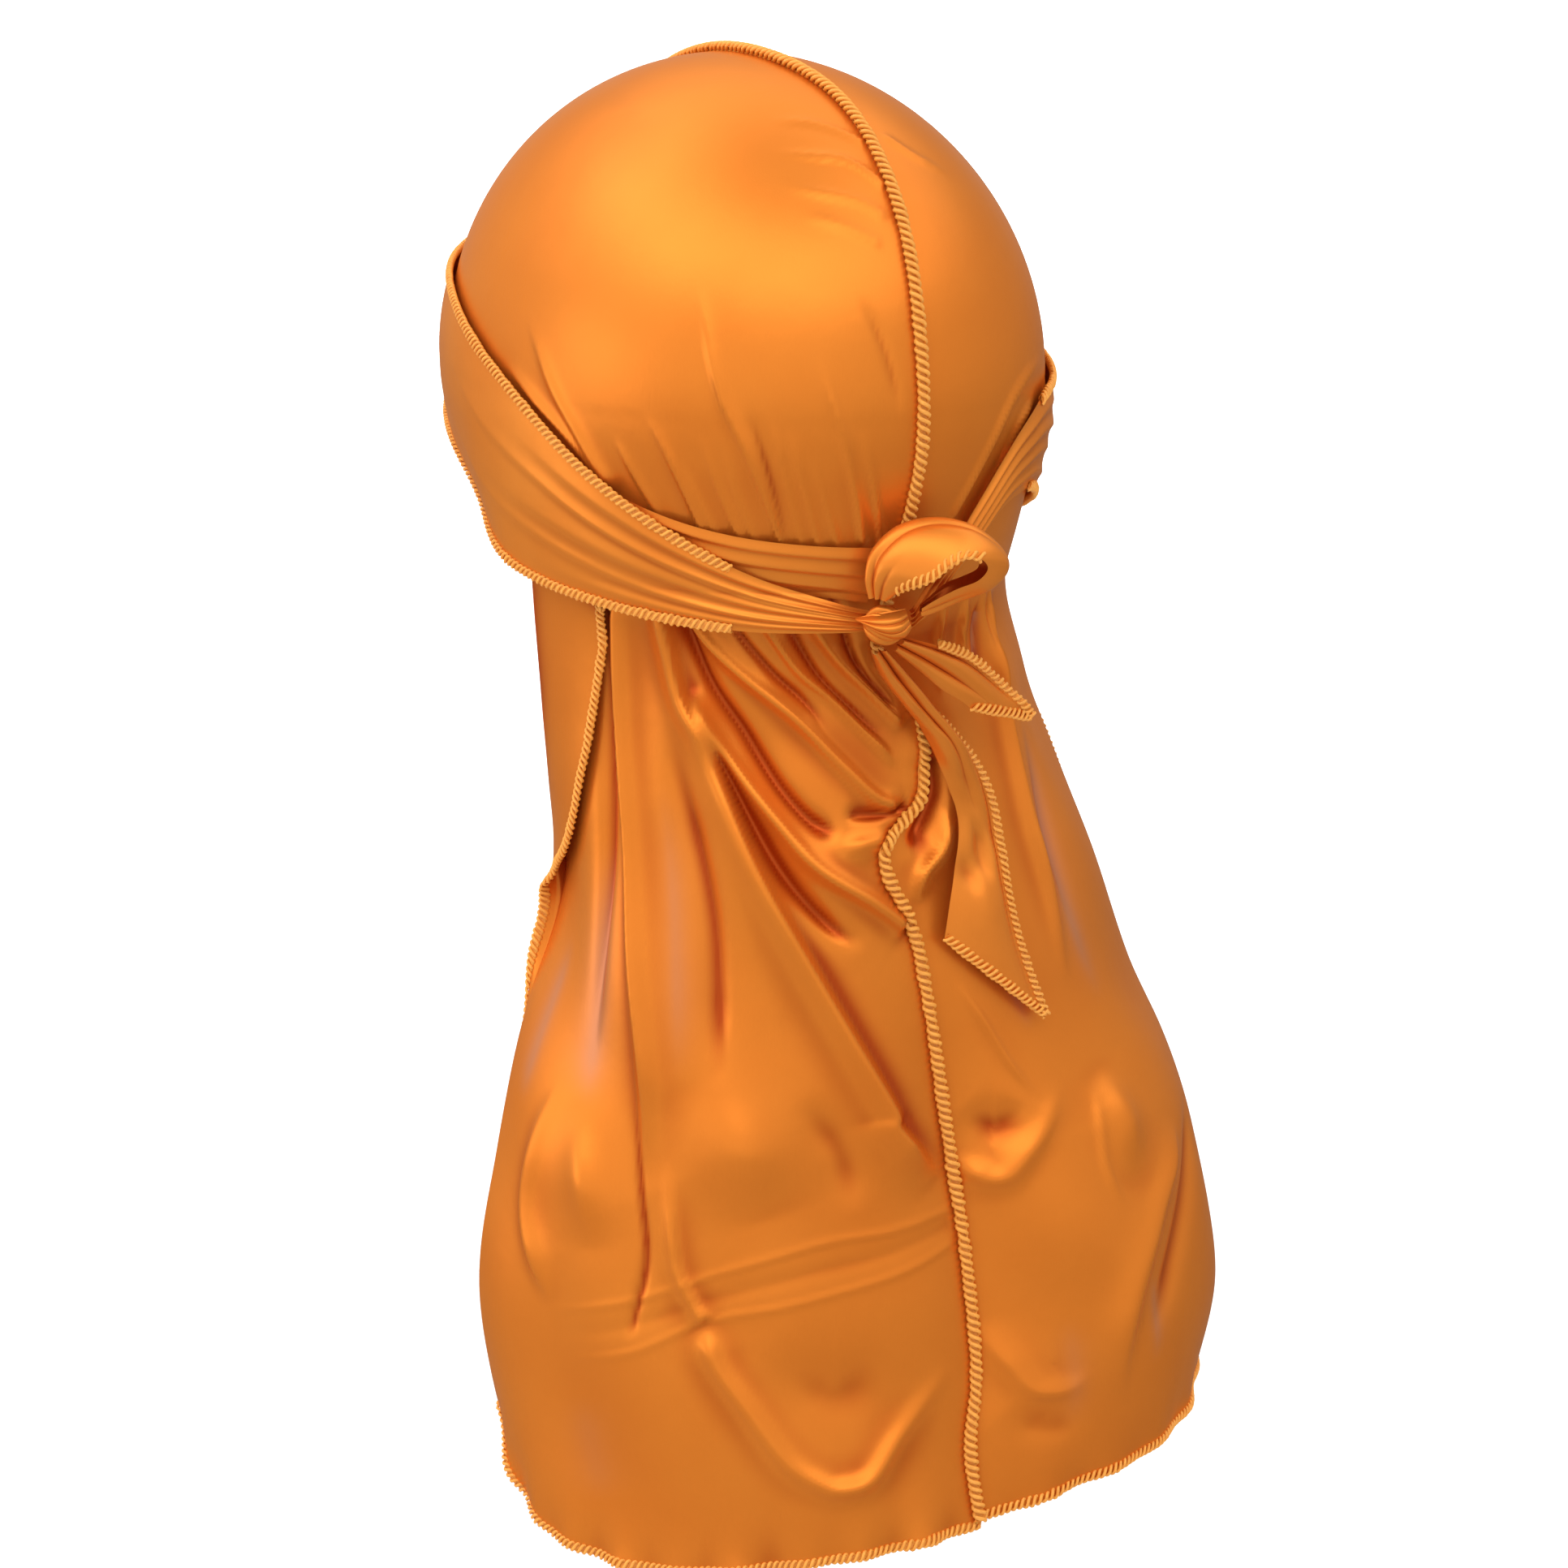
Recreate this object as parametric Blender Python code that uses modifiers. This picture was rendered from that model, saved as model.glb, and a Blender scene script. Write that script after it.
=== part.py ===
"""Durag in its worn form: two cloth panels, a centre seam, the tie wrapped round it, and its knot.

The origin is the inner top of the crown, which carries the cloth.
+Z is up, the wearer faces -Y, and the wearer's left is +X.  All sizes are in metres.
A turn is an angle about the upright axis: 0 is the nape, and the wearer's left is positive.
A drop is a distance below the origin.
"""
import math

import bmesh
import bpy
import numpy as np

CLOTH = 0.0012              # wall of every cloth piece
EASE = 0.0015               # middle of the crown's cloth stands this far off the hollow's wall
SEAM_GAP = 0.0032           # share of a panel's width that stays free at the seam
SEAM_WIDTH = 0.0034         # raised overlocked seam
SEAM_LIFT = 0.0021          # middle of the seam's cloth over the middle of the panels'
SEAM_FRONT_FAN = 39.0       # the seam's front end, just above the wrap on the forehead
FRONT_FAN = 18.6            # the crown's front edge, in degrees about the ear axis
NAPE_FAN = 203.0            # where the crown turns into the tail
RIM_SIDE = 80.0             # the crown's side edge, in degrees from the middle
EAR = np.array([0.0, 0.004, -0.116])
WIDEST_DROP = 0.084
PLAN_POWER = 2.1            # the hollow seen from above is slightly boxier than an ellipse
TAIL_AXIS = np.array([0.0, 0.005])
TURN_OVER_RADIUS = 0.0014   # bend of the tail's turned-over left edge
FOLD_TOP = 0.147            # folds of the tail start below the wrap
FOLD_RISE = 0.016
PANEL_COLUMNS = 17
CROWN_ROWS = 21
TAIL_ROWS = 29
MARGIN_COLUMNS = 3

HOLLOW = {
    "drop": (0.084, 0.105, 0.125, 0.145, 0.165, 0.200),
    "half_width": (0.0762, 0.0742, 0.0702, 0.0665, 0.0640, 0.0620),
    "front": (0.0955, 0.0940, 0.0910, 0.0860, 0.0810, 0.0760),
    "back": (0.0980, 0.0950, 0.0895, 0.0820, 0.0750, 0.0700),
}
SEAM_SHIFT = {
    "fan": (15, 60, 90, 110, 130, 150, 170, 190, 205),
    "side": (0.0, 0.0, -1.0, -3.3, -2.4, -0.5, 0.0, 2.0, 2.5),
}
SEAM_PATH = {
    "drop": (0.172, 0.185, 0.195, 0.1995, 0.2035, 0.210, 0.2185, 0.230, 0.243, 0.285, 0.327,
             0.360, 0.373, 0.402),
    "x": (-0.0085, -0.0085, -0.0060, -0.0005, 0.0050, 0.0058, 0.0028, -0.0022, -0.0044, -0.0096, -0.0137,
          -0.0143, -0.0122, -0.0144),
    "y": (0.0844, 0.0868, 0.0884, 0.0892, 0.0898, 0.0907, 0.0920, 0.0932, 0.0946, 0.0996, 0.1044,
          0.1079, 0.1095, 0.1125),
}
LEFT_TAIL = {
    "drop": (0.172, 0.195, 0.216, 0.260, 0.299, 0.337, 0.382, 0.420),
    "mid_turn": (42, 42, 42, 42, 42, 42, 42, 42),
    "mid_reach": (0.0740, 0.0790, 0.0830, 0.0900, 0.0960, 0.1000, 0.1020, 0.1030),
    "edge_turn": (84, 84, 84, 84, 84, 84, 84, 82),
    "edge_reach": (0.0672, 0.0650, 0.0635, 0.0752, 0.0879, 0.0932, 0.0893, 0.0860),
}
RIGHT_TAIL = {
    "drop": (0.172, 0.197, 0.234, 0.260, 0.283, 0.330, 0.350, 0.384, 0.400),
    "mid_turn": (-40, -40, -40, -42, -44, -48, -48, -48, -48),
    "mid_reach": (0.0790, 0.0870, 0.0985, 0.1075, 0.1180, 0.1335, 0.1355, 0.1310, 0.1290),
    "edge_turn": (-75, -72, -72, -76, -84, -94, -97, -94, -92),
    "edge_reach": (0.0770, 0.0867, 0.1000, 0.1090, 0.1150, 0.1150, 0.1110, 0.1070, 0.1070),
}
LEFT_HEM = {
    "share": (0.0, 0.2, 0.45, 0.65, 0.82, 0.93, 1.0),
    "drop": (0.3985, 0.4010, 0.4060, 0.4060, 0.4010, 0.3920, 0.3780),
}
RIGHT_HEM = {
    "share": (0.0, 0.2, 0.45, 0.65, 0.82, 0.93, 1.0),
    "drop": (0.3980, 0.3910, 0.3850, 0.3785, 0.3700, 0.3610, 0.3500),
}
LEFT_MARGIN = {
    "drop": (0.118, 0.133, 0.141, 0.165, 0.190, 0.210, 0.226, 0.260, 0.420),
    "width": (0.0030, 0.0120, 0.0185, 0.0160, 0.0110, 0.0070, 0.0045, 0.0040, 0.0040),
    "bend": (40, 160, 180, 180, 178, 150, 60, 0, 0),
}
RIGHT_MARGIN = {
    "drop": (0.118, 0.230, 0.280, 0.420),
    "width": (0.0040, 0.0040, 0.0040, 0.0040),
    "bend": (0, 0, -30, -30),
}

# one row per fold: start, middle and end (turn, drop), height, and its half-width at the start and at the end
FOLD_COLUMNS = ("turn0", "drop0", "turn1", "drop1", "turn2", "drop2", "height", "width0", "width1")
LEFT_FOLDS = (
    (55.5, 0.141, 53.5, 0.208, 48.0, 0.284, 0.0050, 0.0062, 0.0080),    # upright pipe by the left edge
    (62.0, 0.143, 62.4, 0.210, 53.5, 0.284, -0.0030, 0.0060, 0.0065),   # hollow left of the pipe
    (50.0, 0.143, 23.5, 0.218, -2.0, 0.298, 0.0060, 0.0060, 0.0080),    # long fold from the wrap to the seam
    (47.0, 0.180, 15.0, 0.240, -3.0, 0.285, -0.0035, 0.0080, 0.0090),   # valley under the long fold
    (40.6, 0.160, 19.3, 0.201, 1.5, 0.224, 0.0040, 0.0065, 0.0068),     # swags from the gathered top
    (27.5, 0.147, 15.5, 0.169, -1.5, 0.192, 0.0035, 0.0060, 0.0066),
    (14.0, 0.147, 6.0, 0.160, -4.0, 0.172, 0.0030, 0.0062, 0.0062),
    (16.0, 0.190, 7.0, 0.1950, -1.0, 0.1965, -0.0025, 0.0062, 0.0055),  # crease at the seam's kink
    (63.6, 0.268, 73.0, 0.303, 64.0, 0.338, 0.0040, 0.0050, 0.0060),    # hooked fold near the left edge
    (49.0, 0.262, 46.0, 0.304, 47.7, 0.336, 0.0025, 0.0045, 0.0045),
    (42.0, 0.289, 36.8, 0.335, 26.0, 0.368, 0.0035, 0.0045, 0.0060),    # left arm of the low swag
    (28.0, 0.366, 14.5, 0.383, 4.0, 0.368, 0.0035, 0.0060, 0.0055),
    (5.5, 0.372, 1.0, 0.360, -3.0, 0.349, 0.0035, 0.0055, 0.0045),
    (20.0, 0.345, 12.0, 0.360, 6.0, 0.350, -0.0030, 0.0080, 0.0080),    # bowl above the low swag
    (60.0, 0.275, 58.0, 0.300, 56.0, 0.325, -0.0025, 0.0080, 0.0080),
)
RIGHT_FOLDS = (
    (-9.0, 0.176, -15.0, 0.203, -9.0, 0.224, -0.0050, 0.0050, 0.0055),  # hollow beside the seam's kink
    (-25.0, 0.150, -25.0, 0.162, -25.5, 0.182, 0.0030, 0.0062, 0.0065),  # pipe under the loop
    (-49.0, 0.152, -39.0, 0.220, -31.6, 0.313, 0.0050, 0.0055, 0.0075), # long fold down to the hem
    (-46.0, 0.215, -51.0, 0.262, -45.0, 0.305, -0.0045, 0.0055, 0.0070),
    (-58.0, 0.230, -62.0, 0.290, -60.0, 0.350, 0.0040, 0.0070, 0.0090), # roll along the outer edge
    (-8.5, 0.297, -13.0, 0.305, -19.0, 0.285, -0.0030, 0.0050, 0.0060), # swag right of the seam
    (-19.0, 0.290, -24.0, 0.276, -28.0, 0.262, 0.0025, 0.0060, 0.0060),
    (-12.0, 0.345, -22.0, 0.362, -34.0, 0.352, 0.0030, 0.0060, 0.0070),
)

# the tie round the crown: lift is how far the middle of its cloth stands off the hollow's wall
LEFT_WRAP = {
    "turn": (1.0, 6.5, 16, 27, 40, 57, 72, 82, 92, 103, 116, 130, 150, 165, 180, 194),
    "upper": (0.1385, 0.1375, 0.1330, 0.1268, 0.1168, 0.1020, 0.0885, 0.0815, 0.0760, 0.0700, 0.0640,
              0.0600, 0.0565, 0.0550, 0.0545, 0.0550),
    "lower": (0.1440, 0.1435, 0.1430, 0.1430, 0.1422, 0.1410, 0.1385, 0.1345, 0.1285, 0.1190, 0.1090,
              0.1030, 0.0960, 0.0920, 0.0905, 0.0900),
    "upper_lift": (0.0056, 0.0056, 0.0056, 0.0056, 0.0056, 0.0052, 0.0044, 0.0038, 0.0034, 0.0034, 0.0034,
                   0.0034, 0.0036, 0.0054, 0.0058, 0.0058),
    "lower_lift": (0.0056, 0.0056, 0.0058, 0.0062, 0.0072, 0.0092, 0.0104, 0.0106, 0.0092, 0.0058, 0.0038,
                   0.0034, 0.0036, 0.0054, 0.0058, 0.0058),
}
RIGHT_WRAP = {
    "turn": (1.0, 6.0, 12, 20, 28, 45, 60, 75, 90, 105, 120, 150, 178),
    "upper": (0.1385, 0.1280, 0.1115, 0.0955, 0.0880, 0.0840, 0.0820, 0.0795, 0.0760, 0.0710, 0.0660,
              0.0590, 0.0550),
    "lower": (0.1440, 0.1390, 0.1280, 0.1150, 0.1120, 0.1190, 0.1260, 0.1290, 0.1270, 0.1190, 0.1100,
              0.0980, 0.0900),
    "upper_lift": (0.0056, 0.0052, 0.0046, 0.0038, 0.0034, 0.0034, 0.0034, 0.0034, 0.0034, 0.0034, 0.0034,
                   0.0034, 0.0034),
    "lower_lift": (0.0056, 0.0054, 0.0048, 0.0040, 0.0038, 0.0038, 0.0038, 0.0038, 0.0038, 0.0036, 0.0034,
                   0.0034, 0.0034),
}
INNER_WRAP = {
    "turn": (6.0, 17, 30, 42, 53, 62),
    "upper": (0.1200, 0.1185, 0.1160, 0.1120, 0.1065, 0.1000),
    "lower": (0.1360, 0.1330, 0.1300, 0.1250, 0.1180, 0.1120),
    "upper_lift": (0.0033, 0.0033, 0.0033, 0.0033, 0.0033, 0.0033),
    "lower_lift": (0.0033, 0.0033, 0.0033, 0.0033, 0.0033, 0.0033),
}
LEFT_PLEATS = (0.0006, 2.5)     # height, and how many lie across the tie
RIGHT_PLEATS = (0.0005, 2.5)
INNER_PLEATS = (0.0003, 2.0)

# knot frame: right and toward are level, seen from behind the wearer's left shoulder
KNOT = np.array([0.0105, 0.0993, -0.1400])
KNOT_TURN = math.radians(29.0)
KNOT_RIGHT = np.array([-math.cos(KNOT_TURN), math.sin(KNOT_TURN), 0.0])
KNOT_TOWARD = np.array([math.sin(KNOT_TURN), math.cos(KNOT_TURN), 0.0])
KNOT_UP = np.array([0.0, 0.0, 1.0])
KNOT_HALF = (0.0074, 0.0060, 0.0050)    # right, up, toward
KNOT_FURROWS = 0.0005

# bow loop, in the knot frame: the near edge, the crest and the far edge of the strip
LOOP_COLUMNS = ("near_right", "near_up", "near_toward", "crest_right", "crest_up", "crest_toward",
                "far_right", "far_up", "far_toward")
LOOP = (
    (0.0011, 0.0078, 0.0040, -0.0033, 0.0080, 0.0030, -0.0015, 0.0072, -0.0005),
    (0.0042, 0.0110, 0.0070, -0.0042, 0.0138, 0.0034, -0.0014, 0.0120, -0.0030),
    (0.0082, 0.0132, 0.0100, -0.0026, 0.0206, 0.0032, 0.0008, 0.0165, -0.0052),
    (0.0128, 0.0154, 0.0112, 0.0040, 0.0270, 0.0022, 0.0060, 0.0190, -0.0068),
    (0.0166, 0.0186, 0.0110, 0.0136, 0.0292, 0.0010, 0.0144, 0.0205, -0.0078),
    (0.0210, 0.0208, 0.0100, 0.0236, 0.0270, 0.0000, 0.0212, 0.0200, -0.0084),
    (0.0256, 0.0196, 0.0080, 0.0312, 0.0210, -0.0010, 0.0250, 0.0168, -0.0088),
    (0.0272, 0.0166, 0.0060, 0.0332, 0.0150, -0.0020, 0.0250, 0.0136, -0.0088),
    (0.0246, 0.0132, 0.0050, 0.0286, 0.0094, -0.0020, 0.0210, 0.0116, -0.0080),
    (0.0192, 0.0108, 0.0042, 0.0194, 0.0058, -0.0020, 0.0164, 0.0100, -0.0066),
    (0.0136, 0.0078, 0.0038, 0.0128, 0.0032, -0.0012, 0.0118, 0.0066, -0.0046),
    (0.0098, 0.0052, 0.0030, 0.0096, 0.0028, 0.0000, 0.0094, 0.0048, -0.0026),
)

# free ends, hanging over the tail: both edges as (turn, drop), and how far they stand off the tail
TIE_COLUMNS = ("left_turn", "left_drop", "right_turn", "right_drop", "clear", "bulge")
LONG_TIE = (
    (9.0, 0.1466, 5.9, 0.1466, 0.0170, 0.0006),
    (6.4, 0.1549, -0.8, 0.1571, 0.0130, 0.0014),
    (2.2, 0.1634, -7.9, 0.1694, 0.0095, 0.0022),
    (-3.8, 0.1740, -15.3, 0.1824, 0.0072, 0.0026),
    (-8.8, 0.1877, -18.8, 0.1955, 0.0058, 0.0024),
    (-11.4, 0.1992, -19.5, 0.2096, 0.0052, 0.0022),
    (-10.0, 0.2103, -19.3, 0.2218, 0.0048, 0.0020),
    (-7.4, 0.2207, -20.0, 0.2364, 0.0046, 0.0016),
    (-5.7, 0.2307, -22.6, 0.2569, 0.0046, 0.0012),
)
SHORT_TIE = (
    (4.6, 0.1474, 2.2, 0.1444, 0.0165, 0.0004),
    (-1.2, 0.1548, -4.8, 0.1485, 0.0150, 0.0012),
    (-6.0, 0.1612, -12.9, 0.1545, 0.0145, 0.0016),
    (-9.3, 0.1645, -19.4, 0.1634, 0.0145, 0.0012),
    (-11.6, 0.1673, -25.7, 0.1740, 0.0140, 0.0006),
)

FINISHES = {
    # linear red, green, blue of the satin, and its roughness
    "satin_panel": (0.605, 0.205, 0.030, 0.36),
    "satin_tie": (0.640, 0.225, 0.036, 0.36),
    "overlock_thread": (0.700, 0.270, 0.050, 0.62),
}


def smooth(x, xs, ys):
    """Smooth curve through the points (xs, ys), level beyond its ends."""
    x = np.asarray(x, float)
    xs = np.asarray(xs, float)
    ys = np.asarray(ys, float)
    step = np.diff(xs)
    slope = np.diff(ys) / step
    inner = (slope[:-1] * step[1:] + slope[1:] * step[:-1]) / (step[1:] + step[:-1])
    tangent = np.concatenate([slope[:1], inner, slope[-1:]])
    i = np.clip(np.searchsorted(xs, x) - 1, 0, len(xs) - 2)
    t = (np.clip(x, xs[0], xs[-1]) - xs[i]) / step[i]
    rise = t * t * (3 - 2 * t)
    lead = t * (1 - t) * (1 - t) * step[i] * tangent[i]
    trail = t * t * (t - 1) * step[i] * tangent[i + 1]
    return ys[i] * (1 - rise) + ys[i + 1] * rise + lead + trail


def ease_step(x, low, high):
    """Smooth step from 0 at low to 1 at high."""
    t = np.clip((x - low) / (high - low), 0.0, 1.0)
    return t * t * (3 - 2 * t)


def quad(share, at_seam, at_mid, at_edge):
    """Parabola through three values at shares 0, 0.5 and 1."""
    first = at_seam * (1 - share) * (1 - 2 * share)
    return first + at_mid * 4 * share * (1 - share) + at_edge * share * (2 * share - 1)


def hollow_reach(turn, drop):
    """Distance from the upright axis to the hollow's wall at a turn (radians) and a drop."""
    turn, drop = np.broadcast_arrays(np.asarray(turn, float), np.asarray(drop, float))
    low = np.clip(drop, WIDEST_DROP, 0.2)
    up = np.clip((WIDEST_DROP - drop) / WIDEST_DROP, 0, 1)
    share = np.sqrt(1 - up ** 2)
    wide = smooth(low, HOLLOW["drop"], HOLLOW["half_width"]) * share + 1e-9
    front = smooth(low, HOLLOW["drop"], HOLLOW["front"]) * share + 1e-9
    back = smooth(low, HOLLOW["drop"], HOLLOW["back"]) * share + 1e-9
    reach = np.where(np.cos(turn) > 0, back, front)
    across = (np.abs(np.sin(turn)) / wide) ** PLAN_POWER
    along = (np.abs(np.cos(turn)) / reach) ** PLAN_POWER
    jaw = ease_step(drop, 0.105, 0.145) * ease_step(np.abs(np.degrees(turn)), 82, 118)
    return (across + along) ** (-1 / PLAN_POWER) * (1 - 0.17 * jaw)


def from_ear(fan, side, ease=EASE):
    """Point off the hollow's wall, seen from the ear axis.

    A fan of 0 is the front, 90 up and 180 the back.  A side of 0 is the middle and 90 the left ear.
    """
    fan, side = np.broadcast_arrays(np.radians(fan), np.radians(side))
    way = np.stack([np.sin(side), -np.cos(side) * np.cos(fan), np.cos(side) * np.sin(fan)], -1)
    near = np.zeros(fan.shape)
    far = np.full(fan.shape, 0.2)
    for _ in range(36):
        half = (near + far) / 2
        p = EAR + way * half[..., None]
        reach = hollow_reach(np.arctan2(p[..., 0], p[..., 1]), np.clip(-p[..., 2], 1e-6, 0.2))
        inside = (np.hypot(p[..., 0], p[..., 1]) < reach) & (p[..., 2] < 0)
        near = np.where(inside, half, near)
        far = np.where(inside, far, half)
    return EAR + way * (near + ease)[..., None]


def crown_point(hand, share, fan):
    """Middle of the crown's cloth; share runs from the seam to the side edge."""
    shift = smooth(fan, SEAM_SHIFT["fan"], SEAM_SHIFT["side"])
    return from_ear(fan, shift * (1 - share) + hand * RIM_SIDE * share)


def tail_columns(hand, shares, falls):
    """Middle of the tail's cloth as (rows, columns, 3); a fall runs from the nape to the hem."""
    table = LEFT_TAIL if hand > 0 else RIGHT_TAIL
    hem = LEFT_HEM if hand > 0 else RIGHT_HEM
    drops = np.array(table["drop"])
    seam_x = smooth(drops, SEAM_PATH["drop"], SEAM_PATH["x"])
    seam_y = smooth(drops, SEAM_PATH["drop"], SEAM_PATH["y"])
    seam_turn = np.arctan2(seam_x, seam_y - TAIL_AXIS[1])
    seam_reach = np.hypot(seam_x, seam_y - TAIL_AXIS[1])
    out = np.empty((len(falls), len(shares), 3))
    for j, share in enumerate(shares):
        top = crown_point(hand, share, NAPE_FAN)
        above = crown_point(hand, share, NAPE_FAN - 8)
        turn = quad(share, seam_turn, np.radians(table["mid_turn"]), np.radians(table["edge_turn"]))
        reach = quad(share, seam_reach, np.array(table["mid_reach"]), np.array(table["edge_reach"]))
        knots = np.concatenate([[-above[2], -top[2]], drops])
        x = np.concatenate([[above[0], top[0]], reach * np.sin(turn)])
        y = np.concatenate([[above[1], top[1]], TAIL_AXIS[1] + reach * np.cos(turn)])
        if knots[0] >= knots[1] - 0.001:
            knots, x, y = knots[1:], x[1:], y[1:]
        end = smooth(share, hem["share"], hem["drop"])
        drop = -top[2] + falls * (end + top[2])
        wander = smooth(drop, (-top[2],) + SEAM_PATH["drop"], (0.0,) + SEAM_PATH["x"])
        steady = smooth(drop, np.concatenate([[-top[2]], drops]), np.concatenate([[0.0], seam_x]))
        out[:, j, 0] = smooth(drop, knots, x) + (wander - steady) * math.exp(-(share / 0.16) ** 2)
        out[:, j, 1] = smooth(drop, knots, y)
        out[:, j, 2] = -drop
    return out


def fold_height(points, rows):
    """Sum of the folds at each point, measured in (turn, drop) laid flat at a reach of 0.1."""
    flat = np.stack([np.arctan2(points[..., 0], points[..., 1] - TAIL_AXIS[1]) * 0.1, -points[..., 2]], -1)
    total = np.zeros(points.shape[:-1])
    t = np.linspace(0, 1, 25)[:, None]
    for row in rows:
        fold = dict(zip(FOLD_COLUMNS, row))
        ends = [np.array([math.radians(fold["turn%d" % k]) * 0.1, fold["drop%d" % k]]) for k in range(3)]
        pull = 2 * ends[1] - (ends[0] + ends[2]) / 2
        path = ends[0] * (1 - t) ** 2 + pull * 2 * t * (1 - t) + ends[2] * t ** 2
        best = np.full(total.shape, 1.0)
        along = np.zeros(total.shape)
        for k in range(len(path) - 1):
            way = path[k + 1] - path[k]
            s = np.clip(((flat - path[k]) @ way) / (way @ way), 0, 1)
            away = np.linalg.norm(flat - path[k] - s[..., None] * way, axis=-1)
            closer = away < best
            best = np.where(closer, away, best)
            along = np.where(closer, (k + s) / (len(path) - 1), along)
        width = fold["width0"] + (fold["width1"] - fold["width0"]) * along
        taper = ease_step(along, -0.05, 0.15) * ease_step(1 - along, -0.03, 0.3)
        total += fold["height"] * taper * np.exp(-(best / width) ** 2)
    return total * ease_step(-points[..., 2], FOLD_TOP, FOLD_TOP + FOLD_RISE)


def grid_normals(points, hand):
    """Outward unit normals of a (rows, columns, 3) sheet whose columns run toward the given hand."""
    normal = np.cross(np.gradient(points, axis=1), np.gradient(points, axis=0))
    length = np.linalg.norm(normal, axis=-1, keepdims=True)
    return hand * normal / np.maximum(length, 1e-12)


def panel_rows():
    """Fans of the crown's rows and falls of the tail's rows, closer together at the seam's kink."""
    fans = np.linspace(FRONT_FAN, NAPE_FAN, CROWN_ROWS)
    steps = np.linspace(0, 1, TAIL_ROWS + 1)[1:]
    falls = np.interp(steps, (0.0, 0.17, 0.47, 1.0), (0.0, 0.155, 0.335, 1.0))
    return fans, falls


def panel_points(hand):
    """One panel: crown rows, tail rows, and the margin that turns over at the tail's edge."""
    fans, falls = panel_rows()
    shares = np.linspace(SEAM_GAP, 1.0, PANEL_COLUMNS + 1)
    crown = np.stack([crown_point(hand, share, fans) for share in shares], 1)
    sheet = np.concatenate([crown, tail_columns(hand, shares, falls)], 0)
    height = fold_height(sheet, LEFT_FOLDS + RIGHT_FOLDS)
    height[:len(fans)] = 0.0
    sheet = sheet + grid_normals(sheet, hand) * height[..., None]
    return add_margin(sheet, hand, len(fans))


def add_margin(sheet, hand, crown_rows):
    """Add the columns beyond the edge, bent about the edge as the margin table says."""
    table = LEFT_MARGIN if hand > 0 else RIGHT_MARGIN
    edge = sheet[:, -1]
    across = edge - sheet[:, -2]
    across /= np.linalg.norm(across, axis=-1, keepdims=True)
    outward = grid_normals(sheet, hand)[:, -1]
    outward -= across * np.sum(outward * across, axis=-1, keepdims=True)
    outward /= np.linalg.norm(outward, axis=-1, keepdims=True)
    width = smooth(-edge[:, 2], table["drop"], table["width"])
    bend = np.radians(smooth(-edge[:, 2], table["drop"], table["bend"]))
    width[:crown_rows] = table["width"][0]
    bend[:crown_rows] = 0.0
    columns = [sheet]
    for k in range(1, MARGIN_COLUMNS + 1):
        s = width * k / MARGIN_COLUMNS
        size = np.abs(bend)
        arc = size * TURN_OVER_RADIUS + 1e-9
        angle = size * np.minimum(s / arc, 1)
        past = np.maximum(s - arc, 0)
        flat = size < 0.02
        go = np.where(flat, s, TURN_OVER_RADIUS * np.sin(angle) + past * np.cos(size))
        rise = np.where(flat, 0.0, TURN_OVER_RADIUS * (1 - np.cos(angle)) + past * np.sin(size))
        rise *= np.sign(bend)
        columns.append((edge + across * go[:, None] + outward * rise[:, None])[:, None])
    return np.concatenate(columns, 1)


def seam_points():
    """The raised seam: two edges and a middle line over the gap between the panels."""
    fans, falls = panel_rows()
    fans = np.concatenate([[SEAM_FRONT_FAN], fans[fans > SEAM_FRONT_FAN + 4]])
    shares = np.linspace(SEAM_GAP, 1.0, PANEL_COLUMNS + 1)[:2]
    edges = []
    for hand in (1, -1):
        crown = np.stack([crown_point(hand, share, fans) for share in shares], 1)
        sheet = np.concatenate([crown, tail_columns(hand, shares, falls)], 0)
        height = fold_height(sheet, LEFT_FOLDS + RIGHT_FOLDS)
        height[:len(fans)] = 0.0
        sheet = sheet + grid_normals(sheet, hand) * height[..., None]
        across = sheet[:, 1] - sheet[:, 0]
        across /= np.linalg.norm(across, axis=-1, keepdims=True)
        outward = grid_normals(sheet, hand)[:, 0]
        edges.append((sheet[:, 0] + across * SEAM_WIDTH / 2 + outward * SEAM_LIFT, outward))
    ridge = (edges[0][1] + edges[1][1]) * 0.00015
    middle = (edges[0][0] + edges[1][0]) / 2
    return np.stack([edges[1][0], middle + ridge, edges[0][0]], 1)


def wrap_points(table, hand, turns, columns, pleats):
    """Tie cloth round the crown, from its lower to its upper edge, with pleats along it."""
    up = np.linspace(0, 1, columns + 1)[None, :]
    turn = np.asarray(turns, float)[:, None]
    upper = smooth(turn, table["turn"], table["upper"])
    lower = smooth(turn, table["turn"], table["lower"])
    lift = smooth(turn, table["turn"], table["lower_lift"]) * (1 - up)
    lift = lift + smooth(turn, table["turn"], table["upper_lift"]) * up
    drop = lower + (upper - lower) * up
    back = ease_step(70 - turn, 0, 50)
    held = drop + (np.minimum(drop, 0.132) - drop) * back
    height, count = pleats
    lift = lift + height * np.sin(math.pi * count * up) ** 2 + 0.0006 * np.sin(math.pi * up)
    angle = np.radians(turn) * hand + 0 * up
    reach = hollow_reach(angle, held) + lift
    return np.stack([reach * np.sin(angle), reach * np.cos(angle), -drop], -1)


def tail_surface(hand):
    """A finer tail, to hang the free ends on."""
    shares = np.linspace(SEAM_GAP, 0.7, 24)
    sheet = tail_columns(hand, shares, np.linspace(0, 0.62, 50))
    height = fold_height(sheet, LEFT_FOLDS + RIGHT_FOLDS)
    return sheet + grid_normals(sheet, hand) * height[..., None]


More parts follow.
